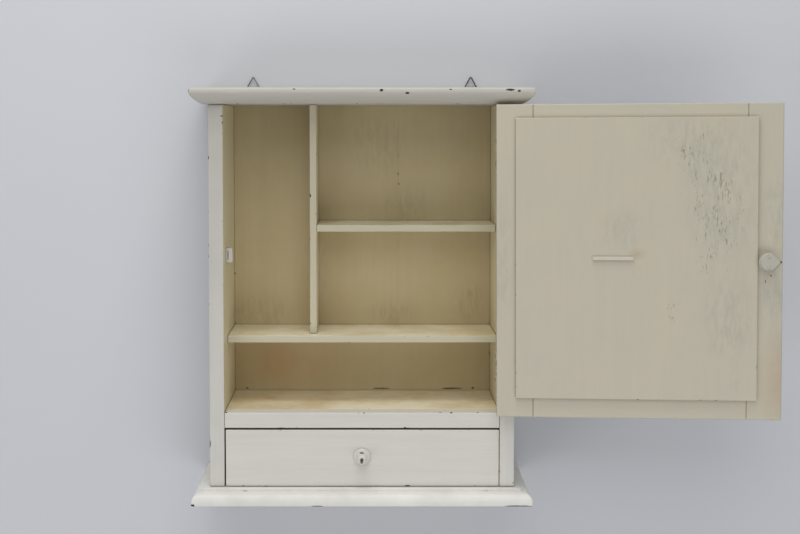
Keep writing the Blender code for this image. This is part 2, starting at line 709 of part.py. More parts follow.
def ring_path():
    """Points (across, up) of the bent wire: a triangle standing on its base, with rounded corners."""
    corners = [(-RING_HALF_BASE, 0.0), (RING_HALF_BASE, 0.0), (0.0, RING_RISE)]
    points = []
    for k, corner in enumerate(corners):
        here = Vector(corner)
        before = (Vector(corners[k - 1]) - here).normalized()
        after = (Vector(corners[(k + 1) % 3]) - here).normalized()
        half_angle = before.angle(after) / 2
        radius = RING_CORNER if k < 2 else 0.6 * RING_CORNER
        middle = here + (before + after).normalized() * (radius / math.sin(half_angle))
        start = here + before * (radius / math.tan(half_angle)) - middle
        turn = math.pi - 2 * half_angle
        steps = 5
        for step in range(steps + 1):
            rotated = Matrix.Rotation(turn * step / steps, 2) @ start
            points.append(middle + rotated)
    return points


def make_hanger(label, x, steel):
    """A plate with a rolled loop, screwed to the top board's rear edge, and a wire ring hinged in it."""
    axle = at(x, -PIVOT_BACK, PIVOT_HEIGHT)
    ring_pivot = pivot(f"hanger_ring_{label}_pivot", axle)
    curve = bpy.data.curves.new(f"hanger_ring_{label}", "CURVE")
    curve.dimensions = "3D"
    curve.bevel_depth = WIRE_RADIUS * MM
    curve.bevel_resolution = 2
    path = ring_path()
    spline = curve.splines.new("POLY")
    spline.points.add(len(path) - 1)
    for spot, (across, up) in zip(spline.points, path):
        spot.co = (across * MM, 0, up * MM, 1)
    spline.use_cyclic_u = True
    curve.materials.append(steel)
    ring = bpy.data.objects.new(f"hanger_ring_{label}", curve)
    bpy.context.scene.collection.objects.link(ring)
    ring.parent = ring_pivot

    loop_inner = WIRE_RADIUS + GAP
    loop_outer = loop_inner + LOOP_THICK
    plate_front = -TOP_REAR + GAP
    plate = block(
        f"hanger_plate_{label}", (x - HANGER_WIDE / 2, plate_front, HANGER_BOTTOM),
        (x + HANGER_WIDE / 2, plate_front + HANGER_THICK, TOP_HEIGHT + 0.2), steel,
    )
    origin = at(x, plate_front, HANGER_BOTTOM)
    across = Vector((LOOP_HALF * MM, 0, 0))
    neck = block(
        f"hanger_neck_{label}", (x - LOOP_HALF, plate_front, TOP_HEIGHT - 4),
        (x + LOOP_HALF, plate_front + HANGER_THICK, PIVOT_HEIGHT),
    )
    loop = rod(f"hanger_loop_{label}", axle - across, axle + across, loop_outer, sides=18)
    for piece in (neck, loop):
        set_origin(piece, origin)
        cut(plate, piece, "UNION")
    bore = rod(f"hanger_loop_bore_{label}", axle - 3 * across, axle + 3 * across, loop_inner, sides=18)
    set_origin(bore, origin)
    cut(plate, bore)
    set_origin(plate, origin)
    return plate, plate_front + HANGER_THICK


def make_hangers(steel):
    top_board = bpy.data.objects["top_board"]
    inward = Vector((0, -1, 0))
    for label, x in HANGER_X.items():
        plate, face = make_hanger(label, x, steel)
        for rung, height in HANGER_SCREWS.items():
            seat = at(x, face - 0.1, height)
            screw_hole(plate, f"hanger_hole_{label}_{rung}", seat, inward)
            screw_hole(top_board, f"hanger_pilot_{label}_{rung}", seat, inward)
            screw(f"hanger_screw_{label}_{rung}", seat, inward, steel)


def main():
    clear_scene()
    paint = finish("cream paint on wood", (0.62, 0.59, 0.52), 0.5)
    raw_wood = finish("bare softwood", (0.50, 0.36, 0.22), 0.65)
    brass = finish("old brass", (0.55, 0.42, 0.20), 0.4, 1.0)
    steel = finish("dull steel", (0.45, 0.43, 0.40), 0.45, 1.0)
    mirror = finish("silvered glass", (0.85, 0.87, 0.88), 0.03, 1.0)

    side_right = make_carcass(paint, steel)
    door = pivot("door_pivot", pin_point(HINGE_MIDDLE))
    latch = pivot("latch_pivot", at(LATCH_X, DOOR_INNER, LATCH_HEIGHT), door)
    drawer = pivot("drawer_slide", at(DRAWER_MIDDLE, FRONT, DRAWER_BOTTOM))

    latch_stile, hinge_stile = make_door(door, paint, mirror)
    make_hinges(side_right, hinge_stile, door, brass)
    make_latch(latch, door, latch_stile, paint, steel)
    make_drawer(drawer, paint, raw_wood, steel)
    make_hangers(steel)

    door.rotation_mode = "QUATERNION"
    door.rotation_quaternion = Matrix.Rotation(OPEN_ANGLE, 4, PIN_AXIS).to_quaternion()


main()
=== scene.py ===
"""Looks of an old painted medicine cabinet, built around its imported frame.

The frame gives every place and size. This script clothes it: boards with softened, dented
edges, run mouldings, turned knobs, bent wire, brushed and crazed paint, a silvered mirror,
and the stage that it is seen on.
"""

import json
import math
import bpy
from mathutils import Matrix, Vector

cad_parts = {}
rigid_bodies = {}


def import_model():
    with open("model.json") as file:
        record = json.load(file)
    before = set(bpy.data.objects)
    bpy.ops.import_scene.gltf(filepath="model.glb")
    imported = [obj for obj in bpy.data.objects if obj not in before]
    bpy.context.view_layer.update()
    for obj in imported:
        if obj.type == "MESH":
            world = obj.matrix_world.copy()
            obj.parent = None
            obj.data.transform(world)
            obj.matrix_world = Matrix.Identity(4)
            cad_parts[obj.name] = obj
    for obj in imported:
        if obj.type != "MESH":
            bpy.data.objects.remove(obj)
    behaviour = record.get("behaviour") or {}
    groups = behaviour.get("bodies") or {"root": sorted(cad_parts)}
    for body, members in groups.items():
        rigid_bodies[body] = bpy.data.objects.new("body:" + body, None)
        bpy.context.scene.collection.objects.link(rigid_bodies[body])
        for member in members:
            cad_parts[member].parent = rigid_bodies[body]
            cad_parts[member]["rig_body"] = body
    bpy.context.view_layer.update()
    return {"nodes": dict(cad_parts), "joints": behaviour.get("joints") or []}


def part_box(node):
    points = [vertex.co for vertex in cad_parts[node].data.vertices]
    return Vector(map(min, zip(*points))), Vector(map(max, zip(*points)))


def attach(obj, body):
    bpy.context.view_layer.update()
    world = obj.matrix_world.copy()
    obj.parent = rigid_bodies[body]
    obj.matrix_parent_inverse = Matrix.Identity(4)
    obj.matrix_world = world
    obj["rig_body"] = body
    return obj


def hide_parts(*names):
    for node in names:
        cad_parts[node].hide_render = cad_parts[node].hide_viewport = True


bl_info = {
    "name": "Painted Medicine Cabinet",
    "version": (1, 0, 0),
    "blender": (4, 5, 0),
    "location": "3D View > Sidebar > Cabinet",
    "description": "Builds the painted boards, mouldings, fittings and stage of a wall cabinet",
    "category": "Object",
}

from functools import partial

import bpy
import numpy as np
from bpy.props import FloatProperty, FloatVectorProperty, IntProperty, PointerProperty
from mathutils import Matrix, Vector

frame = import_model()

MM = 0.001
HINGE = next(joint for joint in frame["joints"] if joint["name"] == "door_hinge")
OPENED = math.radians(-HINGE["range_deg"][0])  # the door's lower limit is where it is shut
HINGE_POINT = Vector(HINGE["pos_m"])
DOOR_TURN = (
    Matrix.Translation(HINGE_POINT) @ Matrix.Rotation(OPENED, 4, Vector(HINGE["axis"]))
    @ Matrix.Translation(-HINGE_POINT)
)


def linear(code):
    """An sRGB hex colour as linear red, green and blue."""
    shares = [int(code[k:k + 2], 16) / 255 for k in (1, 3, 5)]
    return tuple(s / 12.92 if s <= 0.04045 else ((s + 0.055) / 1.055) ** 2.4 for s in shares)


# ---------------------------------------------------------------- sizes and colours to change


def length_setting(name, description, millimetres, least=0.0):
    """A length that the user may change, drawn with its unit."""
    return FloatProperty(
        name=name, description=description, default=millimetres * MM, min=least * MM,
        unit="LENGTH", precision=5,
    )


def colour_setting(name, description, code):
    """A colour that the user may change."""
    return FloatVectorProperty(
        name=name, description=description, default=linear(code), min=0.0, max=1.0, subtype="COLOR"
    )


class BoardSettings(bpy.types.PropertyGroup):
    edge_radius: length_setting("Edge radius", "Softened arris of the carcass boards", 1.1, 0.2)
    thin_edge_radius: length_setting("Thin edge radius", "The same on the thinner boards", 0.8, 0.1)
    grid_step: length_setting("Grid step", "Spacing of the points on the flat of a board", 7.0, 2.0)
    wave: length_setting("Wave", "How far a hand-planed face rises and falls", 0.10)
    dent: length_setting("Dents", "How deep the knocks along the edges are", 0.9)


class MouldingSettings(bpy.types.PropertyGroup):
    top_overhang: length_setting("Top overhang", "How far the top moulding stands out from the sides", 23.0)
    top_inset: length_setting("Top foot", "How far the foot of the top moulding stands out", 7.6)
    base_step: length_setting("Base step", "How far the flat step on the base stands out from the sides", 9.0)
    corner: length_setting("Corner radius", "Rounding of the mitred corners seen from above", 1.4)


class PaintSettings(bpy.types.PropertyGroup):
    outside: colour_setting("Outside", "Off-white paint on the outside", "#DAD7CF")
    inside: colour_setting("Inside", "Yellowed cream paint on the inside", "#CDBE98")
    door: colour_setting("Door", "Greenish cream paint on the door's inner face", "#CAC2AF")
    bare_wood: colour_setting("Bare wood", "Old softwood of the drawer box", "#A1825A")
    wear: FloatProperty(
        name="Wear", description="How much paint is missing along the edges", subtype="FACTOR",
        default=0.5, min=0.0, max=1.0,
    )


class StageSettings(bpy.types.PropertyGroup):
    wall: colour_setting("Wall", "Cool pale grey wall", "#D3D5DA")
    floor: colour_setting("Floor", "Plain pale floor", "#DDDCDA")
    camera_distance: length_setting("Camera distance", "From the wall to the lens", 1741.0, 500.0)
    lens: FloatProperty(name="Lens", description="Focal length in millimetres", default=53.3515, min=20.0)
    seed: IntProperty(name="Seed", description="Starts every random draw", default=11, min=0)


# ---------------------------------------------------------------- surfaces as arrays


def waves(points, length, seed):
    """Smooth noise of about -1 to 1: nine sine waves of about that length, which cross at seeded angles."""
    random = np.random.default_rng(seed)
    ways = random.normal(size=(9, 3))
    ways /= np.linalg.norm(ways, axis=1, keepdims=True)
    turns = math.tau / (length * random.uniform(0.6, 1.7, 9))
    phases = random.uniform(0, math.tau, 9)
    return np.sin((points @ ways.T) * turns + phases).sum(1) / 4.5


def crowded_lines(half, radius, step):
    """Grid positions across a board: even on the flat, then spaced so that the round has equal angles."""
    flat = half - radius
    count = max(2, math.ceil(2 * flat / step)) + 1
    inner = np.linspace(-flat, flat, count)
    rim = min(0.4 * MM, step / 4, flat / 3)
    inner = np.unique(np.concatenate([inner, [rim - flat, flat - rim]]))
    outer = flat + radius * np.tan(np.linspace(0, math.pi / 4, 4)[1:])
    return np.concatenate([-outer[::-1], inner, outer])


def rounded_board(low, high, radius, step):
    """A board as six grids on its box, each point pulled onto the rounding.

    A point p of the box is clamped to the box shrunk by the radius, which gives q. The surface
    point is q plus the radius along the direction from q to p. Points that two grids share are
    welded. Also returned are the outward directions and the distance to the nearest arris.
    """
    low, high = np.array(low), np.array(high)
    centre, half = (low + high) / 2, (high - low) / 2
    radius = min(radius, 0.45 * half.min())
    lines = [crowded_lines(h, radius, step) for h in half]
    grids, quads, count = [], [], 0
    for axis in range(3):
        u, v = (axis + 1) % 3, (axis + 2) % 3
        a, b = np.meshgrid(lines[u], lines[v], indexing="ij")
        index = np.arange(a.size).reshape(a.shape)
        cells = np.stack(
            [index[:-1, :-1], index[1:, :-1], index[1:, 1:], index[:-1, 1:]], -1
        ).reshape(-1, 4)
        for side in (-1, 1):
            grid = np.empty((a.size, 3))
            grid[:, axis] = side * half[axis]
            grid[:, u], grid[:, v] = a.ravel(), b.ravel()
            grids.append(grid)
            quads.append(count + (cells if side > 0 else cells[:, ::-1]))
            count += a.size
    box = np.concatenate(grids)
    _, first, where = np.unique(
        np.round(box / (1e-4 * MM)).astype(np.int64), axis=0, return_index=True, return_inverse=True
    )
    box = box[first]
    inset = np.clip(box, radius - half, half - radius)
    outward = box - inset
    outward /= np.linalg.norm(outward, axis=1, keepdims=True)
    to_arris = np.sort(half - np.abs(box), axis=1)[:, 1]
    points = inset + radius * outward + centre
    return points, where.ravel()[np.concatenate(quads)], outward, to_arris


def aged(points, outward, to_arris, wave, dent, seed):
    """Points moved along their outward directions: gentle rise and fall, and knocks near the arrises."""
    knock_reach, knock_length, nibble_length, wave_length = 3.5 * MM, 16 * MM, 5 * MM, 90 * MM
    near = np.clip(1 - to_arris / knock_reach, 0, 1) ** 2
    knocks = np.clip(waves(points, knock_length, seed + 1) - 0.75, 0, 0.5)
    nibbles = np.clip(waves(points, nibble_length, seed + 2) - 0.5, 0, 0.5) * 0.25
    shift = wave * waves(points, wave_length, seed) - dent * near * (knocks + nibbles)
    return points + outward * shift[:, None]


def moulded_outline(levels, half, front, rear, corner, step):
    """A profile carried round a board: rows are (height, overhang) levels, columns go round its outline.

    Each level is a rectangle grown by its overhang at both ends and in front, never at the
    rear, with rounded front corners. Column k stands at x = s(k) (half + overhang - r) + r c(k),
    and y = rear + t(k) (front - overhang + r - rear) + r d(k), with s, t, c and d below.
    """
    ends = np.linspace(0, 1, max(2, round(abs(front - rear) / step)) + 1)
    width = np.linspace(-1, 1, max(2, round(2 * half / step)) + 1)
    arc = np.linspace(0, math.pi / 2, 6)[1:-1]
    one, zero = np.ones_like, np.zeros_like
    s = np.concatenate([-one(ends), -one(arc), width, one(arc), one(ends), width[-2:0:-1]])
    t = np.concatenate([ends, one(arc), one(width), one(arc), ends[::-1], zero(width[2:])])
    c = np.concatenate([-one(ends), -np.cos(arc), zero(width), np.sin(arc), one(ends), width[-2:0:-1]])
    d = np.concatenate([zero(ends), -np.sin(arc), -one(width), -np.cos(arc), zero(ends), zero(width[2:])])
    height, over = np.array(levels).T[:, :, None]
    x = s * (half + over - corner) + corner * c
    y = rear + t * (front - over + corner - rear) + corner * d
    return np.stack(np.broadcast_arrays(x, y, height), -1)


def rows_to_mesh(rows, ring=False):
    """Quads between closed rows of points, and one flat face on the first and the last row.

    Rows run upwards and their points clockwise seen from above, so that faces point outwards.
    In a ring the last row is joined to the first instead.
    """
    count, around = rows.shape[:2]
    index = np.arange(count * around).reshape(count, around)
    caps = [] if ring else [index[0].tolist(), index[-1][::-1].tolist()]
    if ring:
        index = np.concatenate([index, index[:1]])
    after = np.roll(index, -1, axis=1)
    quads = np.stack([index[:-1], index[1:], after[1:], after[:-1]], -1).reshape(-1, 4)
    return rows.reshape(-1, 3), quads, caps


def quarter(start, end, steps, fullness=2.0):
    """Points of a quarter of a rounded square: the first number leads, the second follows.

    With t from 0 to a right angle they move by sin(t)^(2/fullness) and 1 - cos(t)^(2/fullness).
    """
    t = np.linspace(0, math.pi / 2, steps + 1)
    power = 2 / fullness
    first = start[0] + (end[0] - start[0]) * np.sin(t) ** power
    second = start[1] + (end[1] - start[1]) * (1 - np.cos(t) ** power)
    return list(zip(first, second))


def smooth_through(points, per_span=5):
    """A curve through the points: on each span the cubic whose slope at a point is half the step past it."""
    points = np.array(points, float)
    padded = np.concatenate([2 * points[:1] - points[1:2], points, 2 * points[-1:] - points[-2:-1]])
    a, b, c, d = (padded[k:len(padded) - 3 + k, None] for k in range(4))
    t = (np.arange(per_span) / per_span)[None, :, None]
    curve = b + 0.5 * t * (c - a + t * (2 * a - 5 * b + 4 * c - d + t * (3 * (b - c) + d - a)))
    return np.concatenate([curve.reshape(-1, points.shape[1]), points[-1:]])


def turned_rows(profile, foot, direction, sides=48):
    """A profile of (radius, reach) turned about a line: point = foot + reach along it + radius around it."""
    direction = Vector(direction)
    across = np.array(direction.orthogonal().normalized())
    along = np.array(direction)
    up = np.cross(along, across)
    angle = np.linspace(0, math.tau, sides, endpoint=False)[::-1]
    ring = np.cos(angle)[:, None] * across + np.sin(angle)[:, None] * up
    radius, reach = np.array(profile).T[:, :, None, None]
    return np.array(foot) + radius * ring + reach * along


def wire_rows(path, radius, sides=14):
    """A round wire along a closed flat path in the plane of x and z: each row is a circle across the path."""
    ahead = np.roll(path, -1, axis=0) - np.roll(path, 1, axis=0)
    ahead /= np.linalg.norm(ahead, axis=1, keepdims=True)
    side = np.array([0.0, 1.0, 0.0])
    normal = np.cross(side, ahead)
    angle = np.linspace(0, math.tau, sides, endpoint=False)
    spread = np.cos(angle)[None, :, None] * normal[:, None] + np.sin(angle)[None, :, None] * side
    return path[:, None] + radius * spread


# ---------------------------------------------------------------- pieces


SHARP_ANGLE = math.radians(38)  # faces that meet at more than this show an edge
WEAR_WIDTH = 7 * MM  # how far from an arris paint is knocked off


def linked(name, data):
    """An object with that data, in the scene."""
    obj = bpy.data.objects.new(name, data)
    bpy.context.scene.collection.objects.link(obj)
    return obj


def put(name, points, faces, node, material, wear=None, caps=(), turn=None):
    """A smooth mesh object in place of a CAD node: it rides on the node's body and hides the node."""
    if node not in frame["nodes"]:
        raise RuntimeError(f"the frame has no {node}")
    if turn is not None:
        points = points @ np.array(turn.to_3x3()).T + np.array(turn.translation)
    mesh = bpy.data.meshes.new(name)
    mesh.from_pydata(points.tolist(), [], faces.tolist() + list(caps))
    mesh.shade_smooth()
    mesh.set_sharp_from_angle(angle=SHARP_ANGLE)
    if wear is not None:
        mesh.attributes.new("wear", "FLOAT", "POINT").data.foreach_set("value", wear.astype(np.float32))
    mesh.materials.append(material)
    obj = linked(name, mesh)
    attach(obj, frame["nodes"][node]["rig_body"])
    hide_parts(node)


def shut_box(node):
    """The lowest and highest corner of a door node with the door shut."""
    back = DOOR_TURN.inverted()
    corners = np.array([back @ v.co for v in frame["nodes"][node].data.vertices])
    return corners.min(0), corners.max(0)


def make_board(name, node, material, radius, on_door=False, dent=1.0, grow=0.0):
    """An aged board in the box of a CAD node, grown sideways to close a joint.

    Its wear attribute is 1 on an arris and 0 from the wear's width in.
    """
    boards = bpy.context.scene.cabinet_boards
    low, high = shut_box(node) if on_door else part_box(node)
    low, high = np.array(low) - (grow, 0, 0), np.array(high) + (grow, 0, 0)
    seed = bpy.context.scene.cabinet_stage.seed + sum(map(ord, name))
    points, faces, outward, to_arris = rounded_board(low, high, radius, boards.grid_step)
    points = aged(points, outward, to_arris, boards.wave, boards.dent * dent, seed)
    wear = np.clip(1 - to_arris / WEAR_WIDTH, 0, 1)
    put(name, points, faces, node, material, wear, turn=DOOR_TURN if on_door else None)


def paint_node(node, material):
    """Gives a CAD node a finish in place of its own."""
    mesh = frame["nodes"][node].data
    mesh.materials.clear()
    mesh.materials.append(material)


# ---------------------------------------------------------------- finishes


def per_mm(size):
    """A texture scale whose features are about that many millimetres across."""
    return 1 / (size * MM)


def along(grain, times):
    """The scale of a Mapping node that draws a pattern out along the grain (an axis letter)."""
    return [1 / times if letter == grain else 1.0 for letter in "XYZ"]


def feed(socket, value):
    """Links an output to an input, or sets the input to a number, a vector, a colour or a hex colour."""
    if isinstance(value, bpy.types.NodeSocket):
        socket.id_data.links.new(value, socket)
    elif socket.type == "RGBA":
        socket.default_value = (*(linear(value) if isinstance(value, str) else value), 1.0)
    else:
        socket.default_value = value


def add(tree, kind, *values, out=0, **options):
    """Adds a shader node and returns one of its outputs.

    Values go to its inputs in their order. An option with a capital is an input too, and any
    other is a setting.
    """
    made = tree.nodes.new("ShaderNode" + kind)
    inputs = dict(enumerate(values))
    for key, value in options.items():
        if key[0].isupper():
            inputs[key] = value
        else:
            setattr(made, key, value)
    for key, value in inputs.items():
        feed(made.inputs[key], value)
    return made.outputs[out]


def new_finish(name):
    """Makes a material, and returns add() for its node tree and its Object coordinates."""
    material = bpy.data.materials.new(name)
    material.use_nodes = True
    node = partial(add, material.node_tree)
    return node, node("TexCoord", out="Object")


def set_shader(name, colour, **inputs):
    """Gives the Principled shader of the material of that name its colour and its other inputs."""
    shader = bpy.data.materials[name].node_tree.nodes["Principled BSDF"]
    inputs["Base Color"] = colour
    for key, value in inputs.items():
        feed(shader.inputs[key], value)


def patch_mask(node, vector, places):
    """1 inside any of the ellipsoids (centre, half sizes), in millimetres, falling to 0 at their skins."""
    total = None
    for centre, half in places:
        offset = node("VectorMath", vector, [c * MM for c in centre], operation="SUBTRACT")
        scaled = node("VectorMath", offset, [h * MM for h in half], operation="DIVIDE")
        far = node("VectorMath", scaled, operation="LENGTH", out="Value")
        inside = node("MapRange", far, 0.0, 1.0, 1.0, 0.0)
        total = inside if total is None else node("Math", total, inside, operation="MAXIMUM")
    return total


def aged_paint(
    name, face, patch, grain, under, *, soiling_and_shade, soiling_and_shade_share, streaks, patch_share, wear, roughness, top_shade,
    soiling_and_shade_mm=7, patch_mm=70, top_shade_colour="#6E6654", chips_and_shade=(), stains=(), stain_colour="#A8855A", flakes=(),
    smears=(), smear_colour=None, facing=None, facing_colour=None, on_cad=False,
):
    """Old oil paint brushed onto planed wood, satin: brush marks along the grain, yellowed patches,
    soiling with painted shade in the corners, painted shade darkening it towards the top, paint knocked
    off the arrises down to the wood, and short dark flakes where the wood has moved. Faces that look
    along the facing direction have a colour of their own.
    """
    node, coords = new_finish(name)
    clouds = node("TexNoise", Vector=coords, Scale=per_mm(patch_mm), Detail=5.0, Roughness=0.6)
    colour = node("MixRGB", node("MapRange", clouds, 0.38, 0.64, 0.0, patch_share), face, patch)
    if top_shade:
        # Painted shade: the colour turns darker towards the top.
        height_up = node("SeparateXYZ", coords, out="Z")
        share = node("MapRange", height_up, -0.22, 0.28, 0.0, top_shade)
        colour = node("MixRGB", share, colour, top_shade_colour)
    if facing:
        looks = node("TexCoord", out="Normal")
        turned = node("VectorMath", looks, facing, operation="DOT_PRODUCT", out="Value")
        colour = node("MixRGB", node("MapRange", turned, 0.55, 0.85), colour, facing_colour)

    # Brush hairs leave marks about 0.3 mm apart. They are drawn 2 mm apart so that they show.
    drawn = node("Mapping", coords, Scale=along(grain, 22))
    strokes = node("TexNoise", Vector=drawn, Scale=per_mm(2.0), Detail=4.0, Roughness=0.6)
    broad = node("TexNoise", Vector=drawn, Scale=per_mm(9.0))
    shade = node("Math", strokes, broad, operation="ADD")
    shade = node("MapRange", shade, 0.7, 1.3, 1 - streaks, 1 + streaks)
    grey = node("CombineXYZ", shade, shade, shade)
    colour = node("MixRGB", 1.0, colour, grey, blend_type="MULTIPLY")

    fine = node("TexNoise", Vector=coords, Scale=per_mm(3.0), Detail=4.0, Roughness=0.7)
    if stains:
        mask = patch_mask(node, coords, stains)
        cloudy = node("MapRange", clouds, 0.3, 0.6, 0.25, 0.5)
        mask = node("Math", mask, cloudy, operation="MULTIPLY")
        colour = node("MixRGB", mask, colour, stain_colour)
    if smears:
        # Damp and wiping leave soft grey smears that follow the brush marks.
        wiped = node("Mapping", coords, Scale=along(grain, 3.5))
        wiped = node("TexNoise", Vector=wiped, Scale=per_mm(6.5), Detail=5.0, Roughness=0.7)
        wiped = node("MapRange", wiped, 0.40, 0.66, 0.0, 0.4)
        mask = node("MapRange", patch_mask(node, coords, smears), 0.0, 0.7)
        mask = node("Math", mask, wiped, operation="MULTIPLY")
        colour = node("MixRGB", mask, colour, smear_colour)

    # Soiling and painted shade: the colour darkens where nearby surfaces close it in, in corners, crevices
    # and between parts.
    closed_in = node("AmbientOcclusion", samples=8, Distance=soiling_and_shade_mm * MM, out="AO")
    soiling_and_shade_mask = node("MapRange", closed_in, 0.25, 0.75, soiling_and_shade_share, 0.0)
    soiling_and_shade_mask = node("Math", soiling_and_shade_mask, node("MapRange", fine, 0.3, 0.6, 0.5, 1.0), operation="MULTIPLY")
    colour = node("MixRGB", soiling_and_shade_mask, colour, soiling_and_shade)

    height = node("Math", broad, 0.3, operation="MULTIPLY")
    height = node("Math", strokes, 0.55, height, operation="MULTIPLY_ADD")
    if flakes:
        place = patch_mask(node, coords, flakes)
        slivers = node("Mapping", coords, Scale=along(grain, 6.0))
        slivers = node("TexNoise", Vector=slivers, Scale=per_mm(1.2), Detail=2.0)
        groups = node("Mapping", coords, Scale=along(grain, 2.5))
        groups = node("TexNoise", Vector=groups, Scale=per_mm(14.0), Detail=2.0)
        groups = node("MapRange", groups, 0.40, 0.62, -0.08, 0.06)
        lift = node("Math", slivers, node("MapRange", place, 0.0, 0.6, -0.25, 0.0), operation="ADD")
        lift = node("Math", lift, groups, operation="ADD")
        flaked = node("MapRange", lift, 0.60, 0.67)
        share = node("Math", flaked, 0.55, operation="MULTIPLY")
        colour = node("MixRGB", share, colour, "#63604F")
        height = node("Math", flaked, -1.2, height, operation="MULTIPLY_ADD")

    if on_cad:
        # The frame's own meshes carry no wear attribute, so their arrises are found by rounding them.
        rounded = node("Bevel", samples=6, Radius=1.2 * MM)
        flat = node("NewGeometry", out="Normal")
        bend = node("VectorMath", rounded, flat, operation="DOT_PRODUCT", out="Value")
        edge = node("MapRange", bend, 0.995, 0.80)
    else:
        edge = node("MapRange", node("Attribute", attribute_name="wear", out="Fac"), 0.70, 1.0)
    knocks = node("TexNoise", Vector=coords, Scale=per_mm(11.0), Detail=3.0, Roughness=0.6)
    lost_paint_and_shade = node("Math", edge, 0.16 * wear, knocks, operation="MULTIPLY_ADD")
    lost_paint_and_shade = node("MapRange", lost_paint_and_shade, 0.70, 0.74)
    lost_paint_and_shade = node("Math", lost_paint_and_shade, node("MapRange", edge, 0.05, 0.3), operation="MULTIPLY")
    if chips_and_shade:
        # The ragged noise is 0.5 in the mean, so half its reach is taken off, to keep the listed chip marks,
        # and the painted shade in the knob's neck, in place.
        ragged_reach = 1.6 * MM
        ragged = node("TexNoise", Vector=coords, Scale=per_mm(1.6), Detail=2.0, out="Color")
        moved = node("VectorMath", ragged, Scale=ragged_reach, operation="SCALE")
        moved = node("VectorMath", coords, moved, operation="ADD")
        moved = node("VectorMath", moved, (ragged_reach / 2,) * 3, operation="SUBTRACT")
        chipped_and_shaded = node("MapRange", patch_mask(node, moved, chips_and_shade), 0.05, 0.15)
        lost_paint_and_shade = node("Math", lost_paint_and_shade, chipped_and_shaded, operation="MAXIMUM")
    # Where paint is gone the wood shows; on the knob this dark colour also paints the shade in its neck.
    bare = node("MixRGB", node("MapRange", fine, 0.4, 0.6), under, [c * 0.35 for c in under])
    colour = node("MixRGB", lost_paint_and_shade, colour, bare)
    height = node("Math", lost_paint_and_shade, -1.6, height, operation="MULTIPLY_ADD")

    relief = {"Height": height, "Distance": 0.16 * MM, "Strength": 0.9}
    if on_cad:
        relief["Normal"] = rounded
    gloss = node("MapRange", clouds, 0.3, 0.7, roughness - 0.06, roughness + 0.10)
    gloss = node("Math", lost_paint_and_shade, 0.3, gloss, operation="MULTIPLY_ADD")
    set_shader(name, colour, Roughness=gloss, Normal=node("Bump", **relief))


def old_softwood(name, colour, grain):
    """Pine planed a long time ago and never finished: darkened, with late-wood lines along the grain."""
    node, coords = new_finish(name)
    drift = node("TexNoise", Vector=coords, Scale=per_mm(60), out="Color")
    drift = node("VectorMath", drift, Scale=9 * MM, operation="SCALE")
    warped = node("Mapping", coords, Scale=along(grain, 14))
    warped = node("VectorMath", warped, drift, operation="ADD")
    # Growth rings of slow-grown pine are 2 to 4 mm apart on a flat-sawn face.
    lines = node("TexNoise", Vector=warped, Scale=per_mm(3.2), Detail=5.0, Roughness=0.65)
    soiled = node("TexNoise", Vector=coords, Scale=per_mm(45), Detail=4.0)
    tint = node("MixRGB", node("MapRange", lines, 0.38, 0.66), colour, [c * 0.5 for c in colour])
    tint = node("MixRGB", node("MapRange", soiled, 0.45, 0.75, 0.0, 0.5), tint, "#4A3826")
    relief = node("Bump", Height=lines, Distance=0.2 * MM, Strength=0.7)
    set_shader(name, tint, Roughness=0.72, Normal=relief)


def silvered_mirror(name):
    """Old silvered sheet glass: a bright reflection, with the silver clouded brown near the edge."""
    node, coords = new_finish(name)
    low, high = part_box("mirror_glass")
    offset = node("VectorMath", coords, (low + high) / 2, operation="SUBTRACT")
    inside = node("VectorMath", offset, operation="ABSOLUTE")
    room = node("VectorMath", (high - low) / 2, inside, operation="SUBTRACT")
    margin = node(
        "Math", node("SeparateXYZ", room, out="X"), node("SeparateXYZ", room, out="Z"),
        operation="MINIMUM",
    )
    ragged = node("TexNoise", Vector=coords, Scale=per_mm(9), Detail=5.0, Roughness=0.7)
    margin = node("Math", ragged, -26 * MM, margin, operation="MULTIPLY_ADD")
    fox = node("MapRange", margin, -4 * MM, -9 * MM)
    spots = node("TexNoise", Vector=coords, Scale=per_mm(5))
    spots = node("MapRange", spots, 0.74, 0.78, 0.0, 0.7)
    fox = node("Math", fox, spots, operation="MAXIMUM")
    colour = node("MixRGB", fox, "#E3E7E6", "#5B4B36")
    set_shader(name, colour, Metallic=1.0, Roughness=node("MapRange", fox, 0.0, 1.0, 0.02, 0.45))


def old_metal(name, bright, dull, roughness, painted=None, paint_from=None):
    """Worn metal fittings: tarnish in clouds over a brighter ground, and paint left on it where it was
    brushed over with the wood. Less paint is left the higher its noise has to be.
    """
    node, coords = new_finish(name)
    clouds = node("TexNoise", Vector=coords, Scale=per_mm(4.0), Detail=5.0, Roughness=0.65)
    colour = node("MixRGB", node("MapRange", clouds, 0.35, 0.62), bright, dull)
    metallic = 1.0
    if painted:
        kept = node("TexNoise", Vector=coords, Scale=per_mm(6.5), Detail=4.0, Roughness=0.6)
        kept = node("MapRange", kept, paint_from, paint_from + 0.08)
        colour = node("MixRGB", kept, colour, painted)
        metallic = node("MapRange", kept, 0.0, 1.0, 1.0, 0.0)
    gloss = node("MapRange", clouds, 0.3, 0.7, roughness - 0.1, roughness + 0.15)
    relief = node("Bump", Height=clouds, Distance=0.08 * MM, Strength=0.6)
    set_shader(name, colour, Metallic=metallic, Roughness=gloss, Normal=relief)


def finish(name):
    """One of the cabinet's finishes, made when it is first asked for."""
    if name not in bpy.data.materials:
        make_finish(name)
    return bpy.data.materials[name]


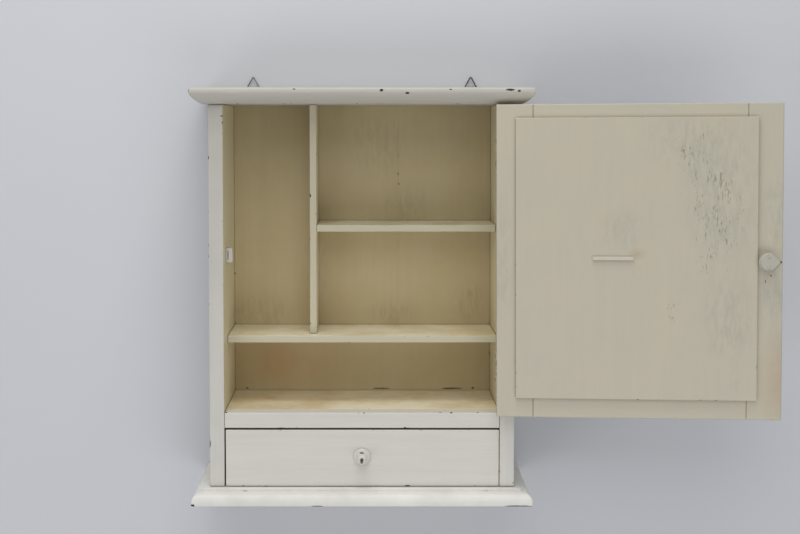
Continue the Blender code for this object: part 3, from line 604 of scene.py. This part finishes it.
# Knocked-off paint: the middle and the half sizes of each chip, in millimetres.
TOP_CHIPS = [
    ((26, -164, 279.6), (2.6, 4, 2.0)), ((60.5, -163, 276), (3.0, 4, 1.6)),
    ((197, -164, 280.2), (6.5, 4, 1.5)), ((209, -164, 278.6), (2.2, 4, 1.6)),
    ((-231, -160, 279), (1.8, 6, 1.3)), ((118, -164, 280.6), (1.6, 3, 1.0)),
    ((230, -150, 279), (3.0, 7, 1.8)), ((-90, -164, 281.0), (2.2, 3, 0.9)),
]
BASE_CHIPS = [
    ((212, -163, -281.3), (22, 6, 1.5)), ((-229, -162, -280.5), (3.5, 6, 2.2)),
    ((218, -160, -262), (2.2, 4, 1.6)), ((-60, -164, -281.3), (9, 4, 1.0)),
    ((229, -100, -280), (3, 9, 2.0)),
]
SIDE_CHIPS = [
    ((-189.2, -141, 245.4), (2.0, 3, 1.0)), ((-207.6, -141, 189), (1.0, 3, 2.4)),
    ((207.6, -141, -150), (1.0, 3, 2.4)), ((-207.8, -60, -40), (1.6, 4, 4.0)),
]
RAIL_CHIPS = [
    ((-185.5, -141, -158.5), (3.0, 5, 1.3)), ((106, -141, -158.4), (3.5, 4, 0.9)),
    ((122, -141, -158.8), (1.8, 4, 1.2)), ((158, -141, -158.6), (1.6, 4, 1.0)),
]
STILE_CHIPS = [
    ((536, -196, 36.5), (0.9, 2, 1.5)), ((553, -197, -68), (1.5, 3, 2.4)), ((529, -196, 29), (0.5, 2, 3.0)),
    ((391, -187, -156), (3.0, 3, 1.2)),
]
BACK_CHIPS = [
    ((28, -5, -156.5), (14, 6, 0.8)), ((132, -5, -156.5), (17, 6, 0.9)), ((163, -5, -156), (2, 6, 1.2)),
    ((-170, -5, -156), (2, 6, 1.0)),
]


def fitting_wear_and_shade(part):
    """The dark worn end of the drawer knob, a band of painted shade on top of its neck, and the worn tip of
    the latch's nose.
    """
    low, high = (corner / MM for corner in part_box("drawer_knob" if part == "knob" else "latch_disc"))
    middle = (low + high) / 2
    if part == "knob":
        return [
            ((middle.x - 0.3, low.y + 2, middle.z - 1.6), (2.3, 7, 3.9)),
            # Painted shade: a dark band on top of the neck, between the rose and the head.
            ((middle.x - 0.6, high.y - 4.4, middle.z + 6.0), (4.0, 1.6, 1.3)),
        ]
    return [((high.x - 1.0, low.y, middle.z), (1.7, 6, 1.9))]


METALS = {
    # Stamped brass hinges: dull gold where the cream paint has come off.
    "Old brass with paint on it": ("#B79A5E", "#6A5230", 0.38, "#C9C0A6", 0.42),
    # Drawn steel wire: grey, with scraps of white paint.
    "Steel wire with paint on it": ("#A5A39D", "#77736B", 0.42, "#D0CEC8", 0.52),
    # Bare steel, browned by age.
    "Dull steel": ("#8C8780", "#5A4E40", 0.42),
}


def make_finish(name):
    """Makes the finish of that name from its kind, and from the part of the cabinet that follows it."""
    paint = bpy.context.scene.cabinet_paint
    kind, _, part = name.partition(", ")
    dark_wood, wear = linear("#3E2F22"), paint.wear
    if kind == "White paint":
        # White oil paint, brushed and gone a little grey: soft satin light, dark wood on worn arrises, and
        # soiling with painted shade in the corners.
        upright = part.endswith("upright")
        top = part == "top moulding"
        chips_and_shade = {
            "top moulding": TOP_CHIPS, "base moulding": BASE_CHIPS, "left upright": SIDE_CHIPS,
            "rail": RAIL_CHIPS, "knob": fitting_wear_and_shade("knob"),
        }
        facing, its_colour = {
            "left upright": ((1, 0, 0), "#E2D9BA"), "right upright": ((-1, 0, 0), "#DED5B5"),
            # Faces that look up are a darker grey.
            "top moulding": ((0, 0, 1), "#B1AEA4"),
        }.get(part, (None, "#FFFFFF"))
        # The uprights, the left one most, are painted a little greyer, as painted shade, and the base paler,
        # as painted light.
        faces = {"left upright": "#D0CDC6", "right upright": "#D8D6CF", "base moulding": "#ECEAE4"}
        aged_paint(
            name, faces.get(part, paint.outside), "#D8D5CD",
            "Z" if upright else "X",
            linear("#7A756A") if part == "knob" else dark_wood,
            facing=facing, facing_colour=its_colour, patch_share=0.6, streaks=0.03,
            chips_and_shade=chips_and_shade.get(part, ()), wear=wear, soiling_and_shade="#4E4536",
            soiling_and_shade_share=0.25 if part == "knob" else 0.5,
            top_shade=0.31 if top else 0.26 if upright else 0.14, on_cad=part == "fittings", roughness=0.42,
        )
    elif kind == "Cream paint":
        # The same paint gone yellow in the dark: warmer and duller, with wiped patches and brown stains.
        shelf = part in ("shelf", "divider")
        aged_paint(
            name, "#EDE5CC" if shelf else paint.inside, "#C9B88F",
            "X" if part == "shelf" else "Z", dark_wood, streaks=0.025, patch_share=0.7,
            stains=[((-115, -4, -122), (110, 40, 60)), ((-110, -60, -160), (120, 80, 30))],
            stain_colour="#C49D6C", chips_and_shade=BACK_CHIPS if part == "back" else (),
            smears=[
                ((67, -4, 112), (38, 20, 45)), ((45, -4, -44), (45, 20, 24)), ((159, -4, -25), (30, 20, 38)),
                ((-150, -4, -45), (60, 20, 34)), ((-68, -4, 20), (20, 20, 70)), ((20, -4, 200), (60, 20, 60)),
            ], smear_colour="#9A9070",
            facing=(0, -1, 0) if shelf else None, facing_colour="#CAC3AA",
            top_shade=0.0 if shelf else 0.26, top_shade_colour="#665428", wear=wear * 0.6,
            soiling_and_shade="#4A3B22", soiling_and_shade_share=0.6, soiling_and_shade_mm=4, roughness=0.48,
        )
    elif kind == "Green cream paint":
        # A greener cream, thickly brushed: faint streaks, grey smears, slivers flaked off along the grain.
        places = {
            "board": [
                ((470, -205, 150), (60, 60, 130)), ((440, -205, 210), (90, 60, 50)),
                ((497, -205, -109), (16, 30, 12)), ((480, -205, -20), (40, 60, 90)),
                ((340, -205, 95), (40, 40, 40)),
            ],
            "stiles": [
                ((545, -190, 110), (26, 60, 80)), ((540, -190, 10), (30, 60, 60)),
                ((186, -190, 56), (22, 60, 110)),
            ],
        }
        # The strip is painted paler than the board, as painted light on it.
        faces = {"latch": "#BDB9AD", "strip": "#D6D0BD"}
        aged_paint(
            name, faces.get(part, paint.door), "#BFBDAD",
            "X" if part == "rails" else "Z", dark_wood,
            streaks=0.014, patch_mm=60, top_shade=0.10, patch_share=0.4,
            flakes=[((462, -205, 118), (54, 60, 125)), ((436, -205, 192), (45, 60, 60)),
                    ((408, -205, -10), (14, 60, 30))] if part == "board" else (),
            smears=places.get(part, ()), smear_colour="#9B9D90",
            facing=(0, 1, 0), facing_colour="#DAD7CE",
            stains=[((363, -190, 64), (14, 40, 9)), ((548, -190, -100), (30, 60, 80))],
            chips_and_shade={"stiles": STILE_CHIPS, "latch": fitting_wear_and_shade("latch")}.get(part, ()),
            wear=wear, soiling_and_shade="#4C432E",
            soiling_and_shade_share={"stiles": 0.2, "rails": 0.2, "latch": 0.9, "fittings": 0.9}.get(part, 0.4),
            soiling_and_shade_mm=2.5 if part in ("latch", "fittings") else 7,
            on_cad=part in ("stiles", "rails", "fittings"), roughness=0.5,
        )
    elif kind in ("Old pine along X", "Old pine along Y"):
        old_softwood(name, paint.bare_wood, kind[-1])
    elif kind == "Silvered mirror glass":
        silvered_mirror(name)
    elif kind in METALS:
        old_metal(name, *METALS[kind])
    else:
        raise RuntimeError(f"there is no finish called {name}")


# ---------------------------------------------------------------- the pieces' operators


class CABINET_OT_carcass(bpy.types.Operator):
    """Sides, two-board back, floor, rail, shelves and divider."""
    bl_idname = "cabinet.carcass"
    bl_label = "Carcass boards"

    def execute(self, context):
        boards = context.scene.cabinet_boards
        thick, thin = boards.edge_radius, boards.thin_edge_radius
        joint_edge, joint_fill = 0.15 * MM, 0.13 * MM  # the back boards are butted, and painted as one
        for side in ("left", "right"):
            make_board(
                f"{side}_side_board", f"side_{side}", finish(f"White paint, {side} upright"),
                thick,
            )
            make_board(
                f"{side}_back_board", f"back_panel_{side}", finish("Cream paint, back"),
                joint_edge, dent=0.0, grow=joint_fill,
            )
        make_board("front_rail", "drawer_rail", finish("White paint, rail"), thick)
        for name, cad in (
            ("floor_board", "compartment_floor"), ("lower_shelf_board", "lower_shelf"),
            ("upper_shelf_board", "upper_shelf"),
        ):
            make_board(name, cad, finish("Cream paint, shelf"), thin)
        make_board("divider_board", "divider", finish("Cream paint, divider"), thin)
        return {"FINISHED"}


def make_moulding(name, cad, levels, material):
    """A moulded board from its levels, aged, with wear where the profile turns sharply."""
    boards, mouldings = bpy.context.scene.cabinet_boards, bpy.context.scene.cabinet_mouldings
    low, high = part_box(cad)
    overhang = max(over for _, over in levels)
    half = (high.x - low.x) / 2 - overhang
    front = low.y + overhang
    rows = moulded_outline(levels, half, front, high.y, mouldings.corner, boards.grid_step)
    inward = np.array([0, (front + high.y) / 2, (low.z + high.z) / 2])
    turn = np.zeros(len(levels))
    steps = np.diff(np.array(levels), axis=0)
    angles = np.unwrap(np.arctan2(steps[:, 1], steps[:, 0]))
    turn[1:-1] = np.abs(np.diff(angles)) / 0.8
    wear = np.repeat(np.clip(turn, 0, 1), rows.shape[1])
    points, faces, caps = rows_to_mesh(rows)
    outward = points - inward
    outward[:, 0] = np.sign(outward[:, 0]) * (np.abs(points[:, 0]) > half)
    outward[:, 1] = -1.0 * (points[:, 1] < front)
    outward[:, 2] = 0.3 * np.sign(outward[:, 2])
    seed = bpy.context.scene.cabinet_stage.seed + len(name)
    to_arris = np.where(wear > 0.3, 0.0, 2 * MM)
    points = aged(points, outward, to_arris, boards.wave, boards.dent, seed)
    put(name, points, faces, cad, material, wear, caps)


class CABINET_OT_mouldings(bpy.types.Operator):
    """Top board with a swept front and the base board with its rounded nose and step."""
    bl_idname = "cabinet.mouldings"
    bl_label = "Mouldings"

    def execute(self, context):
        mouldings = context.scene.cabinet_mouldings
        low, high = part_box("top_board")
        over, foot = mouldings.top_overhang, mouldings.top_inset
        edge_low, edge_high = high.z - 7.8 * MM, high.z - 3.7 * MM
        levels = [(low.z, foot - 1.0 * MM), (low.z, foot)]
        sweep = quarter((foot, low.z + 0.6 * MM), (over - 0.2 * MM, edge_low), 12, 1.35)
        levels += [(z, o) for o, z in sweep]
        levels += [(edge_low + 0.4 * MM, over), (edge_high - 0.4 * MM, over)]
        levels += quarter((edge_high, over - 0.1 * MM), (high.z, over - 3.2 * MM), 8)
        levels.append((high.z, over - 4.2 * MM))
        make_moulding("top_moulding", "top_board", levels, finish("White paint, top moulding"))

        low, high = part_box("base_board")
        over, step = 23.0 * MM, mouldings.base_step
        nose_low, nose_high, nose_in = low.z + 4.5 * MM, low.z + 16.8 * MM, 10.7 * MM
        levels = [(low.z, over - 2.0 * MM)]
        levels += [(z, o) for o, z in quarter((over - 0.9 * MM, low.z), (over, low.z + 0.9 * MM), 3)]
        levels += quarter((nose_low, over), (nose_high, nose_in), 14)
        levels += [(nose_high + 0.1 * MM, step + 0.3 * MM), (nose_high + 0.5 * MM, step)]
        levels += quarter((high.z - 0.9 * MM, step), (high.z, step - 0.9 * MM), 4)
        levels.append((high.z, step - 2.0 * MM))
        make_moulding("base_moulding", "base_board", levels, finish("White paint, base moulding"))
        return {"FINISHED"}


class CABINET_OT_door(bpy.types.Operator):
    """The door's frame and mirror, and the board and strip on its back."""
    bl_idname = "cabinet.door"
    bl_label = "Mirror door"

    def execute(self, context):
        for cad in ("door_stile_hinge", "door_stile_latch"):
            paint_node(cad, finish("Green cream paint, stiles"))
        for cad in ("door_rail_top", "door_rail_bottom"):
            paint_node(cad, finish("Green cream paint, rails"))
        paint_node("mirror_glass", finish("Silvered mirror glass"))
        board_paint = finish("Green cream paint, board")
        thin = context.scene.cabinet_boards.thin_edge_radius
        strip_edge = 1.1 * MM
        make_board("door_panel", "door_back_board", board_paint, thin, on_door=True)
        make_board(
            "panel_strip", "door_board_strip", finish("Green cream paint, strip"), strip_edge,
            on_door=True, dent=0.3,
        )
        return {"FINISHED"}


def nosed_outline(reach, radius, tip, inset, steps=40):
    """A disc with a nose: the big circle, the small circle at its tip, and the tangents between them.

    Both circles are drawn in by the inset. The small one stays at least 0.25 mm in radius.
    """
    big, small = radius - inset, max(tip - inset, 0.25 * MM)
    span = reach - inset - small
    tangent = math.acos((big - small) / span)
    around = np.linspace(-math.pi + tangent, math.pi - tangent, steps)
    nose = np.linspace(math.pi - tangent, math.pi + tangent, 10)
    x = np.concatenate([big * np.cos(around), small * np.cos(nose) - span])
    z = np.concatenate([big * np.sin(around), small * np.sin(nose)])
    return x[::-1], z[::-1]


class CABINET_OT_latch(bpy.types.Operator):
    """Turn latch: its nosed disc and studs inside, its knob and rose outside, and the keeper."""
    bl_idname = "cabinet.latch"
    bl_label = "Turn latch"

    def execute(self, context):
        paint = finish("Green cream paint, latch")
        low, high = shut_box("latch_disc")
        radius = (high[2] - low[2]) / 2
        reach = (high[0] - low[0]) - radius
        centre = np.array([high[0] - radius, low[1], (low[2] + high[2]) / 2])
        thick = high[1] - low[1]
        nose = 1.6 * MM
        # Depth and inset of each outline, in millimetres, from the dished face to the foot.
        rim = [(0.0, 1.2), (0.0, 0.7), (0.35, 0.15), (0.9, 0.0), (2.4, 0.0)]
        rim += [(y, inset) for inset, y in quarter((0.0, 2.2), (1.9, thick / MM - 0.35), 6)]
        rim += [(thick / MM - 0.15, 2.05), (thick / MM, 2.2)]
        rows = []
        for depth, inset in rim:
            x, z = nosed_outline(reach, radius, nose, inset * MM)
            rows.append(centre + np.stack([x, np.full_like(x, depth * MM), z], -1))
        points, faces, caps = rows_to_mesh(np.array(rows))
        put("nosed_disc", points, faces, "latch_disc", paint, None, caps, DOOR_TURN)

        # Profiles are radius and reach in millimetres.
        for name, cad, profile in (
            ("turned_latch_knob", "latch_knob", (
                (3.9, 0.0), (6.0, 0.0), (6.3, 0.5), (6.0, 4.0), (6.9, 6.8), (9.7, 9.4), (11.3, 13.0),
                (10.4, 16.6), (7.2, 19.2), (3.2, 20.1), (1.0, 20.2),
            )),
            ("latch_rose_plate", "latch_rose", (
                (4.0, 0.0), (10.4, 0.0), (11.0, 0.5), (10.6, 1.2), (9.6, 1.6), (4.0, 1.6),
            )),
        ):
            low, high = shut_box(cad)
            foot = np.array([(low[0] + high[0]) / 2, high[1], (low[2] + high[2]) / 2])
            if cad == "latch_knob":
                foot[1] = low[1] + profile[-1][1] * MM
            curve = smooth_through(np.array(profile) * MM)
            points, faces, caps = rows_to_mesh(turned_rows(curve, foot, (0, -1, 0)))
            put(name, points, faces, cad, paint, None, caps, DOOR_TURN)
        for cad in ("latch_spindle", "latch_stud_upper", "latch_stud_lower"):
            paint_node(cad, finish("Dull steel" if cad == "latch_spindle" else "Green cream paint, fittings"))
        paint_node("latch_keeper", finish("White paint, fittings"))
        return {"FINISHED"}


class CABINET_OT_drawer(bpy.types.Operator):
    """The drawer's painted front, its bare box and its turned knob."""
    bl_idname = "cabinet.drawer"
    bl_label = "Drawer"

    def execute(self, context):
        boards = context.scene.cabinet_boards
        make_board(
            "drawer_face", "drawer_front", finish("White paint, drawer"), boards.edge_radius
        )
        for name, cad, grain in (
            ("box_left", "drawer_side_left", "Y"), ("box_right", "drawer_side_right", "Y"),
            ("box_back", "drawer_back", "X"), ("box_bottom", "drawer_bottom", "X"),
        ):
            make_board(
                name, cad, finish(f"Old pine along {grain}"), boards.thin_edge_radius, dent=0.5
            )
        low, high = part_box("drawer_knob")
        length = high.y - low.y - 0.3 * MM
        foot = ((low.x + high.x) / 2, high.y - 0.1 * MM, (low.z + high.z) / 2)
        # Radius and reach in millimetres for a knob of the drawn length. Its hollow end comes last.
        drawn_length = 18.0 * MM
        profile = np.array((
            (10.6, 0.0), (11.5, 0.6), (11.3, 1.7), (10.2, 2.5), (8.0, 3.3), (5.6, 4.2),
            (4.9, 5.6), (5.5, 7.2), (6.5, 9.4), (6.8, 12.2), (6.5, 15.0), (5.5, 17.0),
            (3.9, 17.9), (2.7, 17.5), (2.0, 16.4), (1.8, 15.4),
        )) * MM
        profile[:, 1] *= length / drawn_length
        curve = smooth_through(profile)
        points, faces, caps = rows_to_mesh(turned_rows(curve, foot, (0, -1, 0)))
        knob_paint = finish("White paint, knob")
        put("turned_drawer_knob", points, faces, "drawer_knob", knob_paint, None, caps)
        return {"FINISHED"}


def rounded_triangle(half_base, rise, corner, steps=7):
    """A closed path (across, up): a triangle on its base whose corners are arcs tangent to its sides."""
    corners = np.array([(-half_base, 0.0), (half_base, 0.0), (0.0, rise)])
    points = []
    for k, here in enumerate(corners):
        before, after = corners[k - 1] - here, corners[(k + 1) % 3] - here
        before, after = before / np.linalg.norm(before), after / np.linalg.norm(after)
        half_angle = math.acos(float(before @ after)) / 2
        radius = corner if k < 2 else 0.6 * corner
        middle_way = (before + after) / np.linalg.norm(before + after)
        middle = here + middle_way * radius / math.sin(half_angle)
        start = here + before * radius / math.tan(half_angle) - middle
        turn = np.linspace(0, math.pi - 2 * half_angle, steps)
        arc = np.stack([
            np.cos(turn) * start[0] - np.sin(turn) * start[1],
            np.sin(turn) * start[0] + np.cos(turn) * start[1],
        ], -1)
        points.append(middle + arc)
    return np.concatenate(points)


class CABINET_OT_hangers(bpy.types.Operator):
    """Two bent wire rings in their steel plates on the top board's rear edge."""
    bl_idname = "cabinet.hangers"
    bl_label = "Hangers"

    def execute(self, context):
        wire = 0.9 * MM
        cut = 0.55 * MM  # what rounding takes off each corner of the triangle
        for side, steel in (("left", finish("Steel wire with paint on it")), ("right", finish("Dull steel"))):
            low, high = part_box(f"hanger_ring_{side}")
            half_base = (high.x - low.x) / 2 - wire + cut
            rise = high.z - low.z - 2 * wire + 2 * cut
            path = rounded_triangle(half_base, rise, 2.0 * MM)
            spot = np.array([(low.x + high.x) / 2, (low.y + high.y) / 2, low.z + wire])
            path = np.stack([path[:, 0], np.zeros(len(path)), path[:, 1]], -1) + spot
            points, faces, _ = rows_to_mesh(wire_rows(path, wire), ring=True)
            put(f"wire_ring_{side}", points, faces, f"hanger_ring_{side}", steel)
            paint_node(f"hanger_plate_{side}", steel)
        return {"FINISHED"}


class CABINET_OT_ironwork(bpy.types.Operator):
    """Finishes for the hinges, pins and screws."""
    bl_idname = "cabinet.ironwork"
    bl_label = "Hinges and screws"

    def execute(self, context):
        for cad in frame["nodes"]:
            if "screw" in cad and not cad.startswith("hinge"):
                paint_node(cad, finish("Dull steel"))
            elif cad.startswith("hinge"):
                paint_node(cad, finish("Old brass with paint on it"))
        return {"FINISHED"}


# ---------------------------------------------------------------- stage


def stage_plane(name, corners, material):
    """A flat backdrop of rectangles: four corners each, counter-clockwise seen from its front."""
    mesh = bpy.data.meshes.new(name)
    mesh.from_pydata(corners, [], [range(k, k + 4) for k in range(0, len(corners), 4)])
    mesh.materials.append(bpy.data.materials[material])
    linked(name, mesh)


def stage_paint(name, colour, drift_mm, dark_share, roughness):
    """Matt paint whose tone drifts slowly to a darker share of its colour."""
    node, coords = new_finish(name)
    drift = node("MapRange", node("TexNoise", Vector=coords, Scale=per_mm(drift_mm)), 0.3, 0.7)
    tone = node("MixRGB", drift, colour, [c * dark_share for c in colour])
    set_shader(name, tone, Roughness=roughness)


def soft_lamp(name, place, target, size, watts, colour, mirrored=True):
    """A rectangular area light that faces a point, and may be left out of reflections."""
    lamp = bpy.data.lights.new(name, "AREA")
    lamp.shape = "RECTANGLE"
    lamp.size, lamp.size_y = size
    lamp.energy = watts
    lamp.color = linear(colour)
    obj = linked(name, lamp)
    obj.location = place
    obj.rotation_euler = (Vector(target) - Vector(place)).to_track_quat("-Z", "Y").to_euler()
    obj.visible_glossy = mirrored


class CABINET_OT_stage(bpy.types.Operator):
    """Wall, floor, soft lights, world and camera."""
    bl_idname = "cabinet.stage"
    bl_label = "Stage"

    def execute(self, context):
        stage = context.scene.cabinet_stage
        context.scene.view_settings.view_transform = "Standard"

        # Matt emulsion on smooth plaster: even and cool. It is only there from its front, so that the
        # cabinet's back shows.
        stage_paint("Matt wall paint", stage.wall, 900, 0.97, 0.9)
        tree = bpy.data.materials["Matt wall paint"].node_tree
        painted, clear = tree.nodes["Principled BSDF"].outputs[0], add(tree, "BsdfTransparent")
        sides = add(tree, "MixShader", add(tree, "NewGeometry", out="Backfacing"), painted, clear)
        feed(tree.nodes["Material Output"].inputs["Surface"], sides)
        # The wall is open right behind the cabinet, so that light reaches the cabinet's back.
        # Its edges are a little inside the cabinet's outline, where the cabinet hides them.
        low, high, far, behind, inset = -1.7, 2.2, 3.0, 1.5 * MM, 3 * MM
        (base_low, base_high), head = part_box("base_board"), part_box("top_board")[1].z - 11 * MM
        left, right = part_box("side_left")[0].x + inset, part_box("side_right")[1].x - inset
        foot, nose = base_low.z + inset, base_low.z + 14 * MM
        corners = []
        for x0, x1, z0, z1 in (
            (-far, far, low, foot), (-far, base_low.x + inset, foot, nose),
            (base_high.x - inset, far, foot, nose), (-far, left, nose, head),
            (right, far, nose, head), (-far, far, head, high),
        ):
            corners += [(x0, behind, z0), (x1, behind, z0), (x1, behind, z1), (x0, behind, z1)]
        stage_plane("wall", corners, "Matt wall paint")

        stage_paint("Pale floor", stage.floor, 400, 0.95, 0.8)
        wide = 5.0
        corners = [(-wide, -wide, low), (wide, -wide, low), (wide, wide, low), (-wide, wide, low)]
        stage_plane("floor", corners, "Pale floor")

        soft_lamp("Overhead", (-0.05, -0.70, 1.9), (0.05, -0.15, -0.1), (1.2, 0.6), 15.0, "#FFFEFB")
        soft_lamp("Ceiling", (-0.2, -2.1, 1.75), (0.0, 0.0, -0.1), (2.6, 1.8), 20.5, "#FFFFFD")
        soft_lamp("Window", (-1.5, -1.7, -1.0), (0.0, 0.0, -0.25), (1.6, 1.2), 9.0, "#F8F9FF", False)
        soft_lamp("Fill", (1.0, -2.3, -1.1), (0.3, 0.0, -0.25), (2.2, 1.2), 13.0, "#FFFFFF", False)

        world = bpy.data.worlds.new("Soft room")
        context.scene.world = world
        world.use_nodes = True
        glow = world.node_tree.nodes["Background"].inputs
        feed(glow["Color"], "#EEF0F3")
        feed(glow["Strength"], 0.355)

        lens = bpy.data.cameras.new("Camera")
        lens.lens, lens.sensor_width = stage.lens, 36.0
        lens.shift_x, lens.shift_y = 0.0412, -0.1153
        camera = linked("Camera", lens)
        sideways, height, lean = 6.9 * MM, 244.3 * MM, 2.8
        camera.location = (sideways, -stage.camera_distance, height)
        camera.rotation_euler = (math.radians(90 - lean), 0, 0)
        context.scene.camera = camera
        return {"FINISHED"}


class CABINET_PT_sidebar(bpy.types.Panel):
    """Buttons and settings for the cabinet."""
    bl_idname = "CABINET_PT_sidebar"
    bl_label = "Painted Medicine Cabinet"
    bl_space_type = "VIEW_3D"
    bl_region_type = "UI"
    bl_category = "Cabinet"

    def draw(self, context):
        for made in OPERATORS:
            self.layout.operator(made.bl_idname)
        for group in SETTINGS:
            box = self.layout.box()
            settings = getattr(context.scene, group)
            for name in settings.bl_rna.properties.keys():
                if name not in ("rna_type", "name"):
                    box.prop(settings, name)


OPERATORS = (
    CABINET_OT_carcass, CABINET_OT_mouldings, CABINET_OT_door, CABINET_OT_latch, CABINET_OT_drawer,
    CABINET_OT_hangers, CABINET_OT_ironwork, CABINET_OT_stage,
)
SETTINGS = {
    "cabinet_boards": BoardSettings, "cabinet_mouldings": MouldingSettings,
    "cabinet_paint": PaintSettings, "cabinet_stage": StageSettings,
}


def register():
    for made in (*SETTINGS.values(), *OPERATORS, CABINET_PT_sidebar):
        bpy.utils.register_class(made)
    for name, group in SETTINGS.items():
        setattr(bpy.types.Scene, name, PointerProperty(type=group))


def unregister():
    for name in SETTINGS:
        delattr(bpy.types.Scene, name)
    for made in reversed((*SETTINGS.values(), *OPERATORS, CABINET_PT_sidebar)):
        bpy.utils.unregister_class(made)


def main():
    for obj in [o for o in bpy.data.objects if o.name in ("Cube", "Light", "Camera")]:
        bpy.data.objects.remove(obj)
    register()
    for made in OPERATORS:
        group, name = made.bl_idname.split(".")
        getattr(getattr(bpy.ops, group), name)()


if __name__ == "__main__":
    main()
